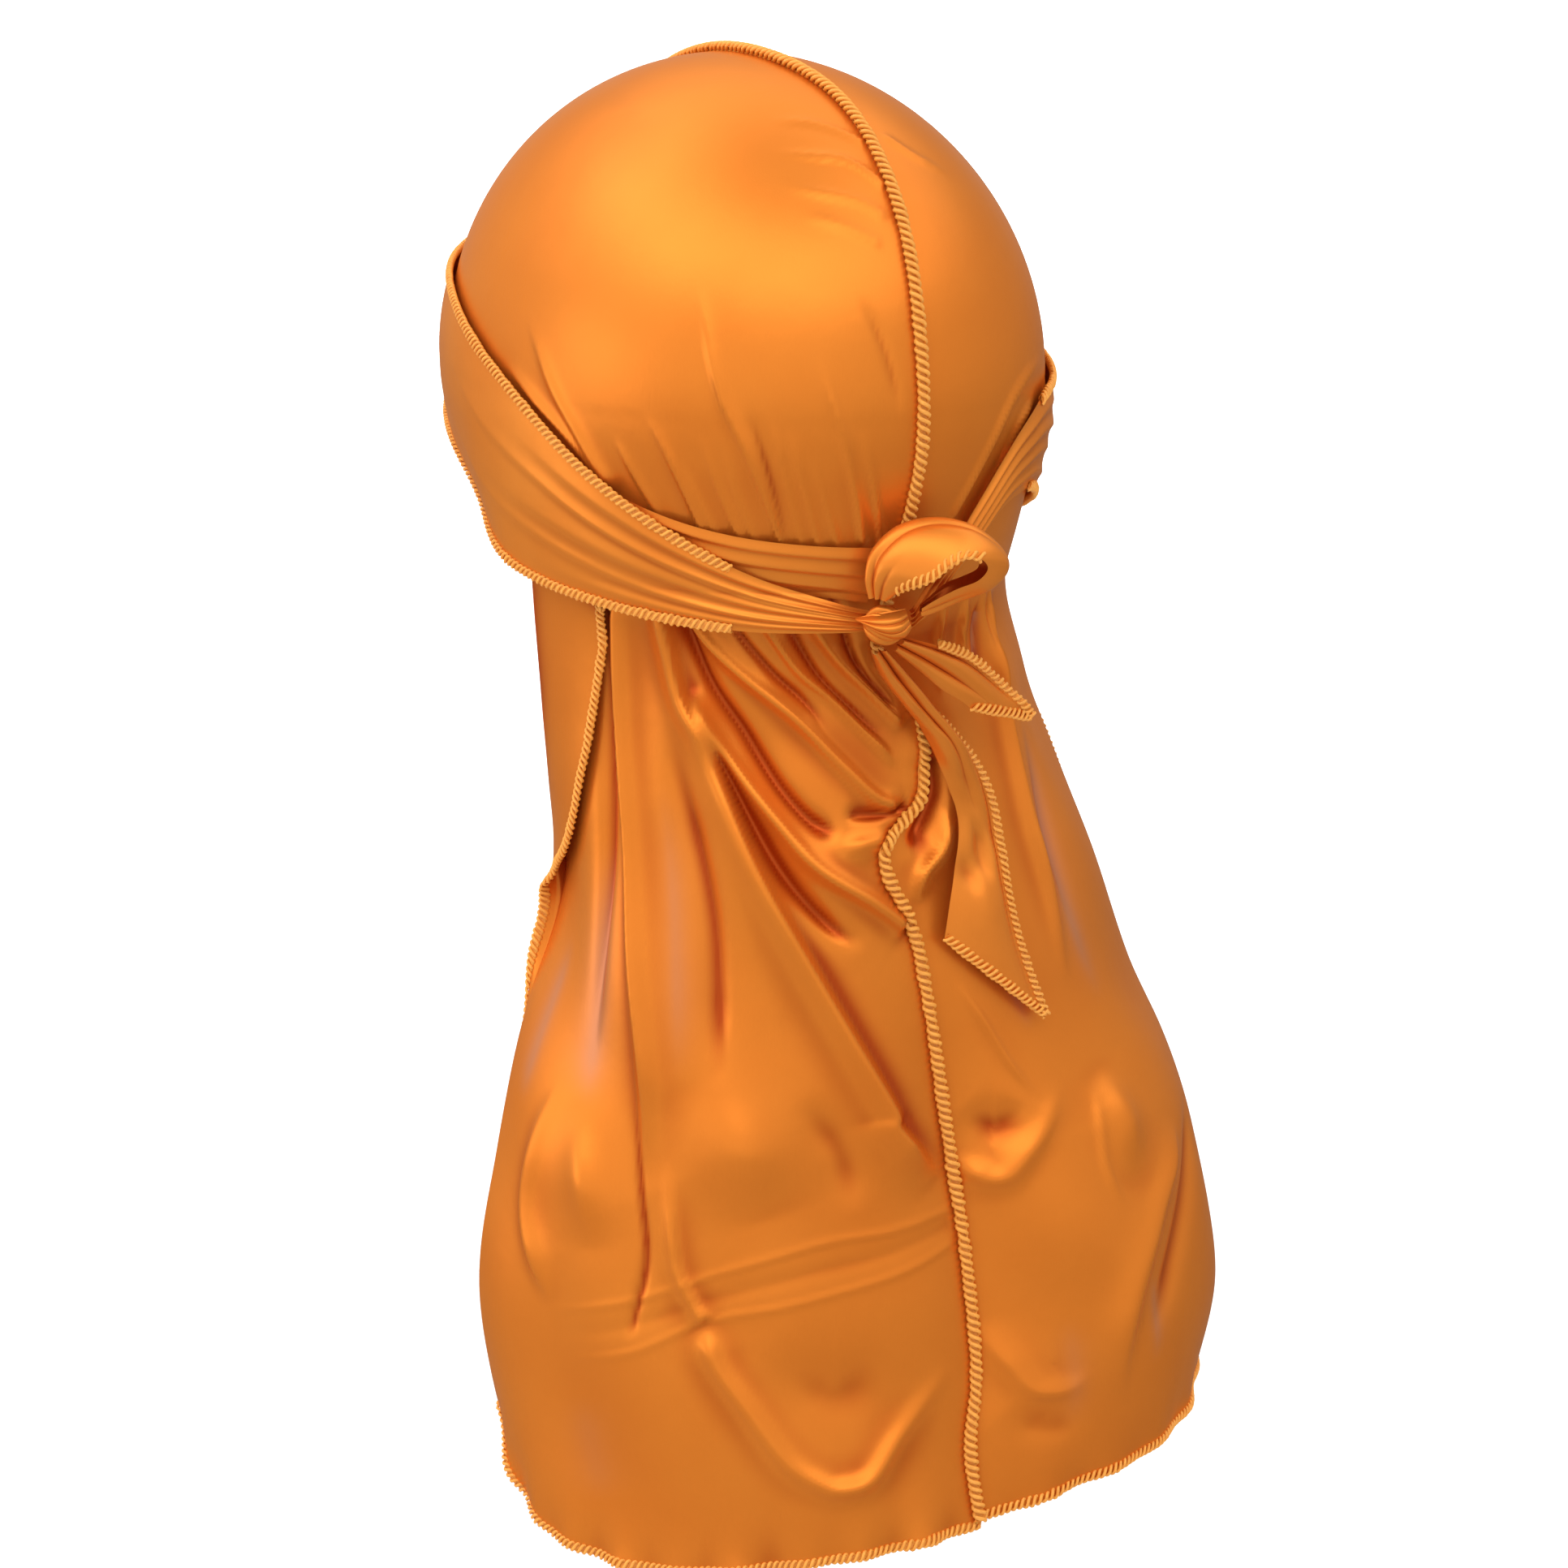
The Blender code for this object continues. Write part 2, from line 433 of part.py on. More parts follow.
def tail_reach(sheets, turn, drop):
    """Reach of the tail's cloth from its axis at a turn (degrees) and a drop."""
    turns = []
    reaches = []
    for sheet in sheets:
        for j in range(sheet.shape[1]):
            column = sheet[:, j]
            x = np.interp(drop, -column[:, 2], column[:, 0])
            y = np.interp(drop, -column[:, 2], column[:, 1]) - TAIL_AXIS[1]
            turns.append(math.degrees(math.atan2(x, y)))
            reaches.append(math.hypot(x, y))
    order = np.argsort(turns)
    return float(np.interp(turn, np.array(turns)[order], np.array(reaches)[order]))


def tie_points(rows, sheets, lengthwise, columns):
    """A free end between its two edges, hung off the tail and bulging along its middle."""
    table = {name: np.array([row[k] for row in rows]) for k, name in enumerate(TIE_COLUMNS)}
    at = np.linspace(0, 1, len(rows))
    out = np.empty((lengthwise + 1, columns + 1, 3))
    for i, s in enumerate(np.linspace(0, 1, lengthwise + 1)):
        value = {name: float(smooth(s, at, column)) for name, column in table.items()}
        for j, share in enumerate(np.linspace(0, 1, columns + 1)):
            turn = value["left_turn"] * (1 - share) + value["right_turn"] * share
            drop = value["left_drop"] * (1 - share) + value["right_drop"] * share
            clear = value["clear"] + value["bulge"] * math.sin(math.pi * share)
            reach = tail_reach(sheets, turn, drop) + clear
            angle = math.radians(turn)
            out[i, j] = (reach * math.sin(angle), TAIL_AXIS[1] + reach * math.cos(angle), -drop)
    return out


def loop_points(lengthwise, columns):
    """The bow loop's strip, curved across from its near edge over the crest to its far edge."""
    rows = np.array(LOOP)
    at = np.linspace(0, 1, len(rows))
    s = np.linspace(0, 1, lengthwise + 1)
    line = np.stack([smooth(s, at, rows[:, k]) for k in range(rows.shape[1])], -1).reshape(-1, 3, 3)
    frame = np.stack([KNOT_RIGHT, KNOT_UP, KNOT_TOWARD])
    edges = KNOT + line @ frame
    across = np.linspace(0, 1, columns + 1)
    return np.stack([quad(v, edges[:, 0], edges[:, 1], edges[:, 2]) for v in across], 1)


def make_material(name):
    """Principled material of one finish, with the photo's colour."""
    red, green, blue, roughness = FINISHES[name]
    material = bpy.data.materials.new(name)
    material.use_nodes = True
    shader = material.node_tree.nodes["Principled BSDF"]
    shader.inputs["Base Color"].default_value = (red, green, blue, 1.0)
    shader.inputs["Roughness"].default_value = roughness
    shader.inputs["Metallic"].default_value = 0.0
    return material


def add_object(name, bm, material, collection):
    """Put a bmesh into the collection as a smooth-shaded object."""
    mesh = bpy.data.meshes.new(name)
    bm.to_mesh(mesh)
    bm.free()
    mesh.materials.append(material)
    mesh.shade_smooth()
    obj = bpy.data.objects.new(name, mesh)
    collection.objects.link(obj)
    return obj


def add_sheet(name, points, material, collection, thickness=CLOTH):
    """A grid laid through the points and given the cloth's thickness by Solidify."""
    rows, columns = points.shape[:2]
    bm = bmesh.new()
    bmesh.ops.create_grid(bm, x_segments=columns - 1, y_segments=rows - 1, size=1.0)
    for vert in bm.verts:
        j = round((vert.co.x + 1) / 2 * (columns - 1))
        i = round((vert.co.y + 1) / 2 * (rows - 1))
        vert.co = points[i, j]
    obj = add_object(name, bm, material, collection)
    wall = obj.modifiers.new("cloth", "SOLIDIFY")
    wall.thickness = thickness
    wall.offset = 0.0
    wall.use_even_offset = False
    return obj


def add_knot(name, material, collection):
    """A small squashed knot whose furrows run round it."""
    bm = bmesh.new()
    bmesh.ops.create_uvsphere(bm, u_segments=16, v_segments=10, radius=1.0)
    for vert in bm.verts:
        x, y, z = vert.co
        furrow = 1 + KNOT_FURROWS / KNOT_HALF[1] * math.cos(5 * math.atan2(y, z) + 2.0 * x)
        right = KNOT_HALF[0] * x * (1 + 0.10 * z)
        up = KNOT_HALF[1] * z * furrow * (1 - 0.12 * x)
        toward = -KNOT_HALF[2] * y * furrow
        vert.co = KNOT + KNOT_RIGHT * right + KNOT_UP * up + KNOT_TOWARD * toward
    return add_object(name, bm, material, collection)


def clear_scene():
    """Remove what the scene holds."""
    for obj in list(bpy.data.objects):
        bpy.data.objects.remove(obj, do_unlink=True)


def main():
    """Build the durag."""
    clear_scene()
    durag = bpy.data.collections.new("durag")
    bpy.context.scene.collection.children.link(durag)
    panel_satin = make_material("satin_panel")
    tie_satin = make_material("satin_tie")
    thread = make_material("overlock_thread")
    add_sheet("left_panel", panel_points(1), panel_satin, durag)
    add_sheet("right_panel", panel_points(-1), panel_satin, durag)
    add_sheet("centre_seam", seam_points(), thread, durag)
    left_turns = np.concatenate([np.linspace(0.6, 60, 13), np.linspace(66, 194, 18)])
    right_turns = np.concatenate([np.linspace(0.6, 48, 12), np.linspace(56, 177, 14)])
    add_sheet("left_wrap", wrap_points(LEFT_WRAP, 1, left_turns, 6, LEFT_PLEATS), tie_satin, durag)
    add_sheet("right_wrap", wrap_points(RIGHT_WRAP, -1, right_turns, 6, RIGHT_PLEATS), tie_satin, durag)
    inner = wrap_points(INNER_WRAP, 1, np.linspace(6.5, 61, 11), 4, INNER_PLEATS)
    add_sheet("inner_wrap", inner, tie_satin, durag)
    add_knot("knot", tie_satin, durag)
    add_sheet("bow_loop", loop_points(20, 4), tie_satin, durag)
    sheets = (tail_surface(1), tail_surface(-1))
    add_sheet("long_tie_end", tie_points(LONG_TIE, sheets, 15, 4), tie_satin, durag)
    add_sheet("short_tie_end", tie_points(SHORT_TIE, sheets, 7, 4), tie_satin, durag)


main()
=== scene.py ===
"""Durag in its worn form, dressed: satin cloth with its folds, pleated ties and overlock stitches.

Sizes are metres unless a name says mm.  +Z is up, the wearer faces -Y and the wearer's left is +X.
The origin is the inner top of the crown.  A turn is an angle about the upright axis: 0 is the nape and the
wearer's left is positive.  A drop is a distance below the origin.
"""

import logging
import math
from dataclasses import dataclass
from enum import Enum

import bpy
import numpy as np
from mathutils import Matrix, Vector


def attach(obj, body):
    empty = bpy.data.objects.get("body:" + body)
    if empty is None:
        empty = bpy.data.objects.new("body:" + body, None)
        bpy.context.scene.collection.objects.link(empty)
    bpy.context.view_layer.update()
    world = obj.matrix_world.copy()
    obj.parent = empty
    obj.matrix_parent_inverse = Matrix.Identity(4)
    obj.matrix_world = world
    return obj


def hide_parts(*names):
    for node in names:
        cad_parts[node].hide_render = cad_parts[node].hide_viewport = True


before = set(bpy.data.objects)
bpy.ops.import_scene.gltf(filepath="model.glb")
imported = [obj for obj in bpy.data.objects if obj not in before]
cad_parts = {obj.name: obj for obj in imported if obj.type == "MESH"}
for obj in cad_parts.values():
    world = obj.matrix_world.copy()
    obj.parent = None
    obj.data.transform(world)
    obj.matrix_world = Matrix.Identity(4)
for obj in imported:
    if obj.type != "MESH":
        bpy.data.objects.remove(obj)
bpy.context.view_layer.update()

log = logging.getLogger("durag")
Array = np.ndarray
BODY = "root"
MM = 0.001
HAIR = 1e-6                 # a length too small to see
NEAR_ZERO = 1e-9            # keeps a divisor off zero
SHORTEST = 1e-12            # a vector shorter than this has no direction
FOLD_STEPS = 8              # short lines that a fold's path is drawn with, for each of its points
FOLD_REACH = 5.0            # widths from its path beyond which a fold is left out
FOLD_FAR = 1.0              # farther than any point of the cloth lies from a fold


class Hand(Enum):
    """Side of the wearer."""

    LEFT = 1
    RIGHT = -1

    @property
    def panel(self) -> str:
        """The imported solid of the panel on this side."""
        return f"{self.name.lower()}_panel"


class Slot(Enum):
    """Material slots that the record names."""

    PANEL = "satin_panel"
    TIE = "satin_tie"
    THREAD = "overlock_thread"


class Held(Enum):
    """How a sheet of cloth is held."""

    DRAPED = "draped"
    STRETCHED = "stretched"
    HUNG = "hung"
    FOLDED = "folded"


def smooth(x: Array | float, xs: Array, ys: Array) -> Array:
    """Read a smooth curve through points, level beyond its ends.

    Args:
        x: where to read it.
        xs: rising places of the points.
        ys: their values, one row for each place.

    Returns:
        The curve's value at each x.
    """
    x = np.asarray(x, float)
    xs = np.asarray(xs, float)
    ys = np.asarray(ys, float)
    tail = (1,) * (ys.ndim - 1)
    step = np.diff(xs).reshape((-1,) + tail)
    slope = np.diff(ys, axis=0) / step
    inner = (slope[:-1] * step[1:] + slope[1:] * step[:-1]) / (step[1:] + step[:-1])
    tangent = np.concatenate([slope[:1], inner, slope[-1:]])
    i = np.clip(np.searchsorted(xs, x) - 1, 0, len(xs) - 2)
    t = ((np.clip(x, xs[0], xs[-1]) - xs[i]) / np.diff(xs)[i]).reshape(x.shape + tail)
    rise = t * t * (3 - 2 * t)
    lead = t * (1 - t) * (1 - t) * step[i] * tangent[i]
    trail = t * t * (t - 1) * step[i] * tangent[i + 1]
    return ys[i] * (1 - rise) + ys[i + 1] * rise + lead + trail


def ease_step(x: Array | float, low: float, high: float) -> Array:
    """Smooth step from 0 at low to 1 at high."""
    t = np.clip((x - low) / (high - low), 0.0, 1.0)
    return t * t * (3 - 2 * t)


def quad(share: Array | float, at_start: Array, at_middle: Array, at_end: Array) -> Array:
    """Parabola through three values at shares 0, 0.5 and 1."""
    first = at_start * (1 - share) * (1 - 2 * share)
    return first + at_middle * 4 * share * (1 - share) + at_end * share * (2 * share - 1)


def unit(vectors: Array) -> Array:
    """Vectors at length 1, along the last axis."""
    return vectors / np.maximum(np.linalg.norm(vectors, axis=-1, keepdims=True), SHORTEST)


def outward_normals(points: Array, hand: Hand) -> Array:
    """Unit normals of a sheet on its outer side.

    Args:
        points: (rows, columns, 3) sheet.  Its rows run down and its columns toward the hand, or its rows
            run toward the hand and its columns up.
        hand: the side that they run to.

    Returns:
        One normal for each point.
    """
    normal = np.cross(np.gradient(points, axis=1), np.gradient(points, axis=0))
    return hand.value * unit(normal)


def blur(field: Array, passes: int) -> Array:
    """A grid of values averaged with its neighbours, as many times as asked."""
    for _ in range(passes):
        wide = np.pad(field, 1, mode="edge")
        field = (wide[:-2, 1:-1] + wide[2:, 1:-1] + wide[1:-1, :-2] + wide[1:-1, 2:] + 2 * field) / 6
    return field


def respace(points: Array, rows: int, columns: int) -> Array:
    """Lay a finer smooth sheet through the points of a coarse one.

    Args:
        points: (rows, columns, 3) coarse sheet.
        rows: rows of the finer sheet.
        columns: columns of the finer sheet.

    Returns:
        The finer sheet.
    """
    down = smooth(np.linspace(0, 1, rows), np.linspace(0, 1, points.shape[0]), points)
    across = smooth(np.linspace(0, 1, columns), np.linspace(0, 1, points.shape[1]), np.swapaxes(down, 0, 1))
    return np.swapaxes(across, 0, 1)


@dataclass(frozen=True)
class Curve:
    """Smooth curve through named points, level beyond its ends."""

    at: tuple[float, ...]
    value: tuple[float, ...]

    def __call__(self, x: Array | float) -> Array:
        """The curve's value at each x."""
        return smooth(x, self.at, self.value)


@dataclass(frozen=True)
class Ripple:
    """Slight unevenness of hand-tied cloth: a few long waves of set size and seeded direction."""

    length_mm: float
    height_mm: float
    seed: int
    waves: int = 7
    spread: tuple[float, float] = (0.6, 1.5)

    def heights(self, flat: Array) -> Array:
        """Height of the waves at flat points, in metres."""
        draw = np.random.default_rng(self.seed)
        total = np.zeros(flat.shape[:-1])
        for _ in range(self.waves):
            way = draw.uniform(0, 2 * math.pi)
            length = self.length_mm * MM * draw.uniform(*self.spread)
            phase = draw.uniform(0, 2 * math.pi)
            along = flat[..., 0] * math.cos(way) + flat[..., 1] * math.sin(way)
            total += np.sin(2 * math.pi * along / length + phase)
        return total * self.height_mm * MM / math.sqrt(self.waves)


@dataclass(frozen=True)
class Fold:
    """A fold, crease or hollow along a path over the cloth.

    The path holds (turn in degrees, drop in mm) on the tail and the ties, and (side, fan) in degrees on the
    crown.  Walking along the path on the outside, right and left are the half-widths on either hand.  The
    height is negative for a hollow.  Rise and fall are the shares of its length over which it starts and
    ends, and a low crest makes it run out wide and flat.
    """

    path: tuple[tuple[float, float], ...]
    height_mm: float
    right_mm: float
    left_mm: float
    rise: float = 0.30
    fall: float = 0.35
    crest: float = 1.6

    def heights(self, flat: Array, path: Array) -> Array:
        """Height of the fold at flat points.

        Args:
            flat: (..., 2) places on the cloth laid flat, in metres.
            path: the fold's path on the same flat cloth.

        Returns:
            Heights in metres.
        """
        line = smooth(np.linspace(0, 1, FOLD_STEPS * len(path)), np.linspace(0, 1, len(path)), path)
        margin = FOLD_REACH * MM * max(self.right_mm, self.left_mm)
        near = np.all((flat > line.min(0) - margin) & (flat < line.max(0) + margin), axis=-1)
        spots = flat[near]
        best = np.full(len(spots), FOLD_FAR)
        along = np.zeros(len(spots))
        hand = np.ones(len(spots))
        for k, way in enumerate(np.diff(line, axis=0)):
            offset = spots - line[k]
            share = np.clip(offset @ way / (way @ way), 0, 1)
            away = np.linalg.norm(offset - share[:, None] * way, axis=-1)
            closer = away < best
            best = np.where(closer, away, best)
            along = np.where(closer, (k + share) / (len(line) - 1), along)
            hand = np.where(closer, way[0] * offset[:, 1] - way[1] * offset[:, 0], hand)
        width = np.where(hand < 0, self.right_mm, self.left_mm) * MM
        ends = ease_step(along, 0.0, self.rise) * ease_step(1 - along, 0.0, self.fall)
        total = np.zeros(flat.shape[:-1])
        total[near] = self.height_mm * MM * ends / (1 + (best / width) ** 2) ** self.crest
        return total


def linear(code: str) -> tuple[float, float, float, float]:
    """Turn an sRGB hex colour into the linear colour that shaders take."""
    parts = [int(code[k:k + 2], 16) / 255 for k in (1, 3, 5)]
    lit = [p / 12.92 if p <= 0.04045 else ((p + 0.055) / 1.055) ** 2.4 for p in parts]
    return (*lit, 1.0)


def add_node(tree: bpy.types.NodeTree, kind: str, settings: dict[str, str] | None = None,
             **inputs: object) -> bpy.types.Node:
    """Add one shader node with its settings and its links.

    Args:
        tree: the material's node tree.
        kind: the node's type.
        settings: attributes to set on the node.
        **inputs: sockets by name, underscores for spaces; a value is set and an output socket is linked.

    Returns:
        The new node.
    """
    node = tree.nodes.new(kind)
    for name, value in (settings or {}).items():
        setattr(node, name, value)
    for name, value in inputs.items():
        socket = node.inputs[int(name[1:])] if name[1:].isdigit() else node.inputs[name.replace("_", " ")]
        if isinstance(value, bpy.types.NodeSocket):
            tree.links.new(value, socket)
        else:
            socket.default_value = value
    return node


def new_material(name: str) -> tuple[bpy.types.Material, bpy.types.NodeTree, bpy.types.Node,
                                     bpy.types.NodeSocket]:
    """Start a material: itself, its node tree, its shader and the place on the object."""
    material = bpy.data.materials.new(name)
    material.use_nodes = True
    tree = material.node_tree
    place = add_node(tree, "ShaderNodeTexCoord").outputs["Object"]
    return material, tree, tree.nodes["Principled BSDF"], place


def uneven_dye(tree: bpy.types.NodeTree, place: bpy.types.NodeSocket, scale: float, detail: float,
               tones: tuple[str, str]) -> bpy.types.NodeSocket:
    """Mix two tones in soft patches.

    Args:
        tree: the material's node tree.
        place: where on the object a point lies.
        scale: how many patches there are to a metre.
        detail: how ragged they are.
        tones: the two sRGB hex colours.

    Returns:
        The mixed colour.
    """
    patches = add_node(tree, "ShaderNodeTexNoise", Vector=place, Scale=scale, Detail=detail)
    mix = add_node(tree, "ShaderNodeMix", {"data_type": "RGBA"}, Factor=patches.outputs["Fac"],
                   _6=linear(tones[0]), _7=linear(tones[1]))
    return mix.outputs[2]


def marked_tone(tree: bpy.types.NodeTree, mark: str, tone: bpy.types.NodeSocket,
                colour: str) -> bpy.types.NodeSocket:
    """Turn a tone toward an sRGB hex colour, by how strongly the mesh is marked."""
    amount = add_node(tree, "ShaderNodeAttribute", {"attribute_name": mark})
    mix = add_node(tree, "ShaderNodeMix", {"data_type": "RGBA"}, Factor=amount.outputs["Fac"],
                   _6=tone, _7=linear(colour))
    return mix.outputs[2]


def raised(tree: bpy.types.NodeTree, place: bpy.types.NodeSocket, scale: float, detail: float,
           relief: tuple[float, float], **under: bpy.types.NodeSocket) -> bpy.types.NodeSocket:
    """Raise a fine pattern on a surface.

    Args:
        tree: the material's node tree.
        place: where on the object a point lies.
        scale: how many grains there are to a metre.
        detail: how ragged they are.
        relief: strength, and height in mm.
        **under: Normal, where the pattern lies over another.

    Returns:
        The surface's normal.
    """
    pattern = add_node(tree, "ShaderNodeTexNoise", Vector=place, Scale=scale, Detail=detail)
    bump = add_node(tree, "ShaderNodeBump", Height=pattern.outputs["Fac"], Strength=relief[0],
                    Distance=relief[1] * MM, **under)
    return bump.outputs[0]


@dataclass(frozen=True)
class Satin:
    """Polyester satin, woven with long floats of bright filament.

    The floats all lie one way, so the eye sees a soft, broad, coloured gleam along the folds.  A duller,
    redder painted shade is mixed into the colour deep in the folds, where the mesh's hollow mark lies.
    """

    name: str
    lit: str = "#E6842C"
    worn: str = "#D97322"
    # painted shade: the duller, redder colour mixed in deep in the folds
    hollow: str = "#B0420E"
    gleam: str = "#FFDDA8"
    thin: str = "#C4805E"       # painted glow of pale light coming through a single layer
    roughness: float = 0.34
    metallic: float = 0.60      # bright filament sends its own colour back, as metal does
    ior: float = 1.5
    anisotropy: float = 0.35
    thread_mm: float = 0.45     # a real float is 0.1 mm wide; it is drawn coarser so that it shows
    float_ratio: float = 0.12   # width of a float against its length
    dye_scale: float = 22.0
    slub_scale: float = 160.0
    weave: tuple[float, float] = (0.10, 0.2)    # strength, and height in mm
    slub: tuple[float, float] = (0.10, 0.6)

    def material(self) -> bpy.types.Material:
        """Make the material.

        Returns:
            A Principled material with woven bump, uneven dye, painted fold shade and painted see-through
            glow.
        """
        material, tree, shader, place = new_material(self.name)
        tone = uneven_dye(tree, place, self.dye_scale, 3.0, (self.lit, self.worn))
        # paint the shade deep in the folds and the glow of light through single layers into the colour
        for mark, colour in (("hollow", self.hollow), ("thin", self.thin)):
            tone = marked_tone(tree, mark, tone, colour)
        tree.links.new(tone, shader.inputs["Base Color"])
        lengthwise = add_node(tree, "ShaderNodeMapping", Vector=place, Scale=(1.0, 1.0, self.float_ratio))
        weave = raised(tree, lengthwise.outputs[0], 1 / (self.thread_mm * MM), 1.0, self.weave)
        slubs = raised(tree, place, self.slub_scale, 2.0, self.slub, Normal=weave)
        tree.links.new(slubs, shader.inputs["Normal"])
        shader.inputs["Roughness"].default_value = self.roughness
        shader.inputs["IOR"].default_value = self.ior
        shader.inputs["Metallic"].default_value = self.metallic
        shader.inputs["Specular Tint"].default_value = linear(self.gleam)
        shader.inputs["Anisotropic"].default_value = self.anisotropy
        return material


@dataclass(frozen=True)
class Thread:
    """Polyester overlock thread, textured.

    It is bulky and loosely spun, so it looks soft and duller than the satin.
    """

    name: str
    lit: str = "#F8B048"
    deep: str = "#D98428"
    roughness: float = 0.55
    sheen: float = 0.3
    strand_mm: float = 0.3
    dye_scale: float = 700.0
    fuzz: tuple[float, float] = (0.5, 0.2)      # strength, and height in mm

    def material(self) -> bpy.types.Material:
        """Make the material.

        Returns:
            A Principled material with spun streaks and uneven dye.
        """
        material, tree, shader, place = new_material(self.name)
        tone = uneven_dye(tree, place, self.dye_scale, 2.0, (self.lit, self.deep))
        tree.links.new(tone, shader.inputs["Base Color"])
        spun = raised(tree, place, 1 / (self.strand_mm * MM), 2.0, self.fuzz)
        tree.links.new(spun, shader.inputs["Normal"])
        shader.inputs["Roughness"].default_value = self.roughness
        shader.inputs["Sheen Weight"].default_value = self.sheen
        shader.inputs["Sheen Tint"].default_value = linear(self.lit)
        return material


@dataclass(frozen=True)
class Paper:
    """Matt studio paper, uncoated: pale and without gleam."""

    name: str = "studio_paper"
    pale: str = "#D9D8D7"
    dull: str = "#D4D3D2"
    roughness: float = 0.9
    grain_scale: float = 3.0

    def material(self) -> bpy.types.Material:
        """Make the material."""
        material, tree, shader, place = new_material(self.name)
        tone = uneven_dye(tree, place, self.grain_scale, 4.0, (self.pale, self.dull))
        tree.links.new(tone, shader.inputs["Base Color"])
        shader.inputs["Roughness"].default_value = self.roughness
        return material


class Stock:
    """Quads gathered for one piece before they become its mesh."""

    def __init__(self) -> None:
        """Start empty."""
        self.points: list[Array] = []
        self.faces: list[Array] = []
        self.marks: dict[str, list[Array]] = {"hollow": [], "thin": []}
        self.count = 0

    def add_grid(self, grid: Array, ring: bool = False, **marks: Array) -> None:
        """Add a sheet of quads.

        Args:
            grid: (rows, columns, 3) points.
            ring: True where the last column joins the first.
            **marks: "hollow" for painted shade by depth in a fold, "thin" for a painted glow through one
                     layer, 0 to 1.
        """
        rows, columns = grid.shape[:2]
        index = np.arange(rows * columns).reshape(rows, columns) + self.count
        if ring:
            index = np.concatenate([index, index[:, :1]], 1)
        corners = (index[:-1, :-1], index[1:, :-1], index[1:, 1:], index[:-1, 1:])
        self.faces.append(np.stack(corners, -1).reshape(-1, 4))
        self.points.append(grid.reshape(-1, 3))
        for mark, values in self.marks.items():
            values.append(np.ravel(marks.get(mark, np.zeros(rows * columns))))
        self.count += rows * columns

    def piece(self, name: str, material: bpy.types.Material) -> bpy.types.Object:
        """Make the object.

        Args:
            name: the piece's name.
            material: its finish.

        Returns:
            The smooth-shaded object, linked to the scene.
        """
        points = np.concatenate(self.points)
        faces = np.concatenate(self.faces)
        mesh = bpy.data.meshes.new(name)
        mesh.vertices.add(len(points))
        mesh.vertices.foreach_set("co", points.ravel())
        mesh.loops.add(faces.size)
        mesh.loops.foreach_set("vertex_index", faces.ravel())
        mesh.polygons.add(len(faces))
        mesh.polygons.foreach_set("loop_start", np.arange(0, faces.size, 4))
        mesh.update(calc_edges=True)
        mesh.validate()
        for mark, values in self.marks.items():
            layer = mesh.attributes.new(mark, "FLOAT", "POINT")
            layer.data.foreach_set("value", np.concatenate(values).astype(np.float32))
        mesh.materials.append(material)
        mesh.shade_smooth()
        piece = bpy.data.objects.new(name, mesh)
        bpy.context.scene.collection.objects.link(piece)
        return piece


def seat(piece: bpy.types.Object, slot: Slot, *nodes: str) -> bpy.types.Object:
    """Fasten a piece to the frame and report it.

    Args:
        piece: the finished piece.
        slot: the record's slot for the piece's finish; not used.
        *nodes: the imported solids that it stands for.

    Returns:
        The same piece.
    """
    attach(piece, BODY)
    if nodes:
        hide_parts(*nodes)
    stands_for = ", ".join(nodes) or "nothing"
    log.info("%s: %d faces, stands for %s", piece.name, len(piece.data.polygons), stands_for)
    return piece


@dataclass(frozen=True)
class Overlock:
    """Overlock stitches: threads laid slantwise round a cloth edge or over a seam, like a flat rope."""

    pitch: float = 0.0018
    half_width: float = 0.0012
    half_height: float = 0.0006
    thread: float = 0.00048
    inset: float = 0.0010
    bed_sink: float = 0.0001
    strands: int = 2
    sides: int = 6
    steps: int = 14
    uneven: float = 0.12
    seed: int = 5

    def stitch(self, stock: Stock, line: Array, outward: Array) -> None:
        """Lay the stitches along a line.

        Args:
            stock: where the thread's quads go.
            line: (n, 3) points along the edge or seam.
            outward: (n, 3) unit normals of the cloth there.
        """
        length = np.concatenate([[0.0], np.cumsum(np.linalg.norm(np.diff(line, axis=0), axis=-1))])
        turns = max(2, round(length[-1] / (self.pitch * self.strands)))
        along = np.linspace(0, length[-1], turns * self.steps + 1)
        middle = np.stack([np.interp(along, length, line[:, k]) for k in range(3)], -1)
        up = unit(np.stack([np.interp(along, length, outward[:, k]) for k in range(3)], -1))
        way = unit(np.gradient(middle, axis=0))
        side = unit(np.cross(way, up))
        draw = np.random.default_rng(self.seed)
        loose = draw.normal(0, self.uneven, 2 * turns)
        loose = np.interp(along, np.linspace(0, length[-1], 2 * turns), loose)
        bed = [middle + side * (share * self.half_width - self.inset) - up * self.bed_sink
               for share in (-1.0, 0.0, 1.0)]
        stock.add_grid(np.stack(bed, 1))
        around = np.linspace(0, 2 * math.pi, self.sides, endpoint=False)
        for strand in range(self.strands):
            phase = 2 * math.pi * (np.arange(len(along)) / self.steps + strand / self.strands)
            wide = self.half_width * (1 + loose)
            path = middle + side * (wide * np.cos(phase) - self.inset)[:, None]
            path = path + up * (self.half_height * np.sin(phase))[:, None]
            run = unit(np.gradient(path, axis=0))
            first = unit(up - run * np.sum(up * run, -1, keepdims=True))
            second = np.cross(run, first)
            ring = first[:, None] * np.cos(around)[:, None] + second[:, None] * np.sin(around)[:, None]
            stock.add_grid(path[:, None] + ring * self.thread, ring=True)


EDGE_STITCH = Overlock()
TIE_STITCH = Overlock(pitch=0.0019, thread=0.00046, inset=0.0006)
SEAM_STITCH = Overlock(pitch=0.0022, half_width=0.0014, half_height=0.0009, thread=0.00062, inset=0.0)


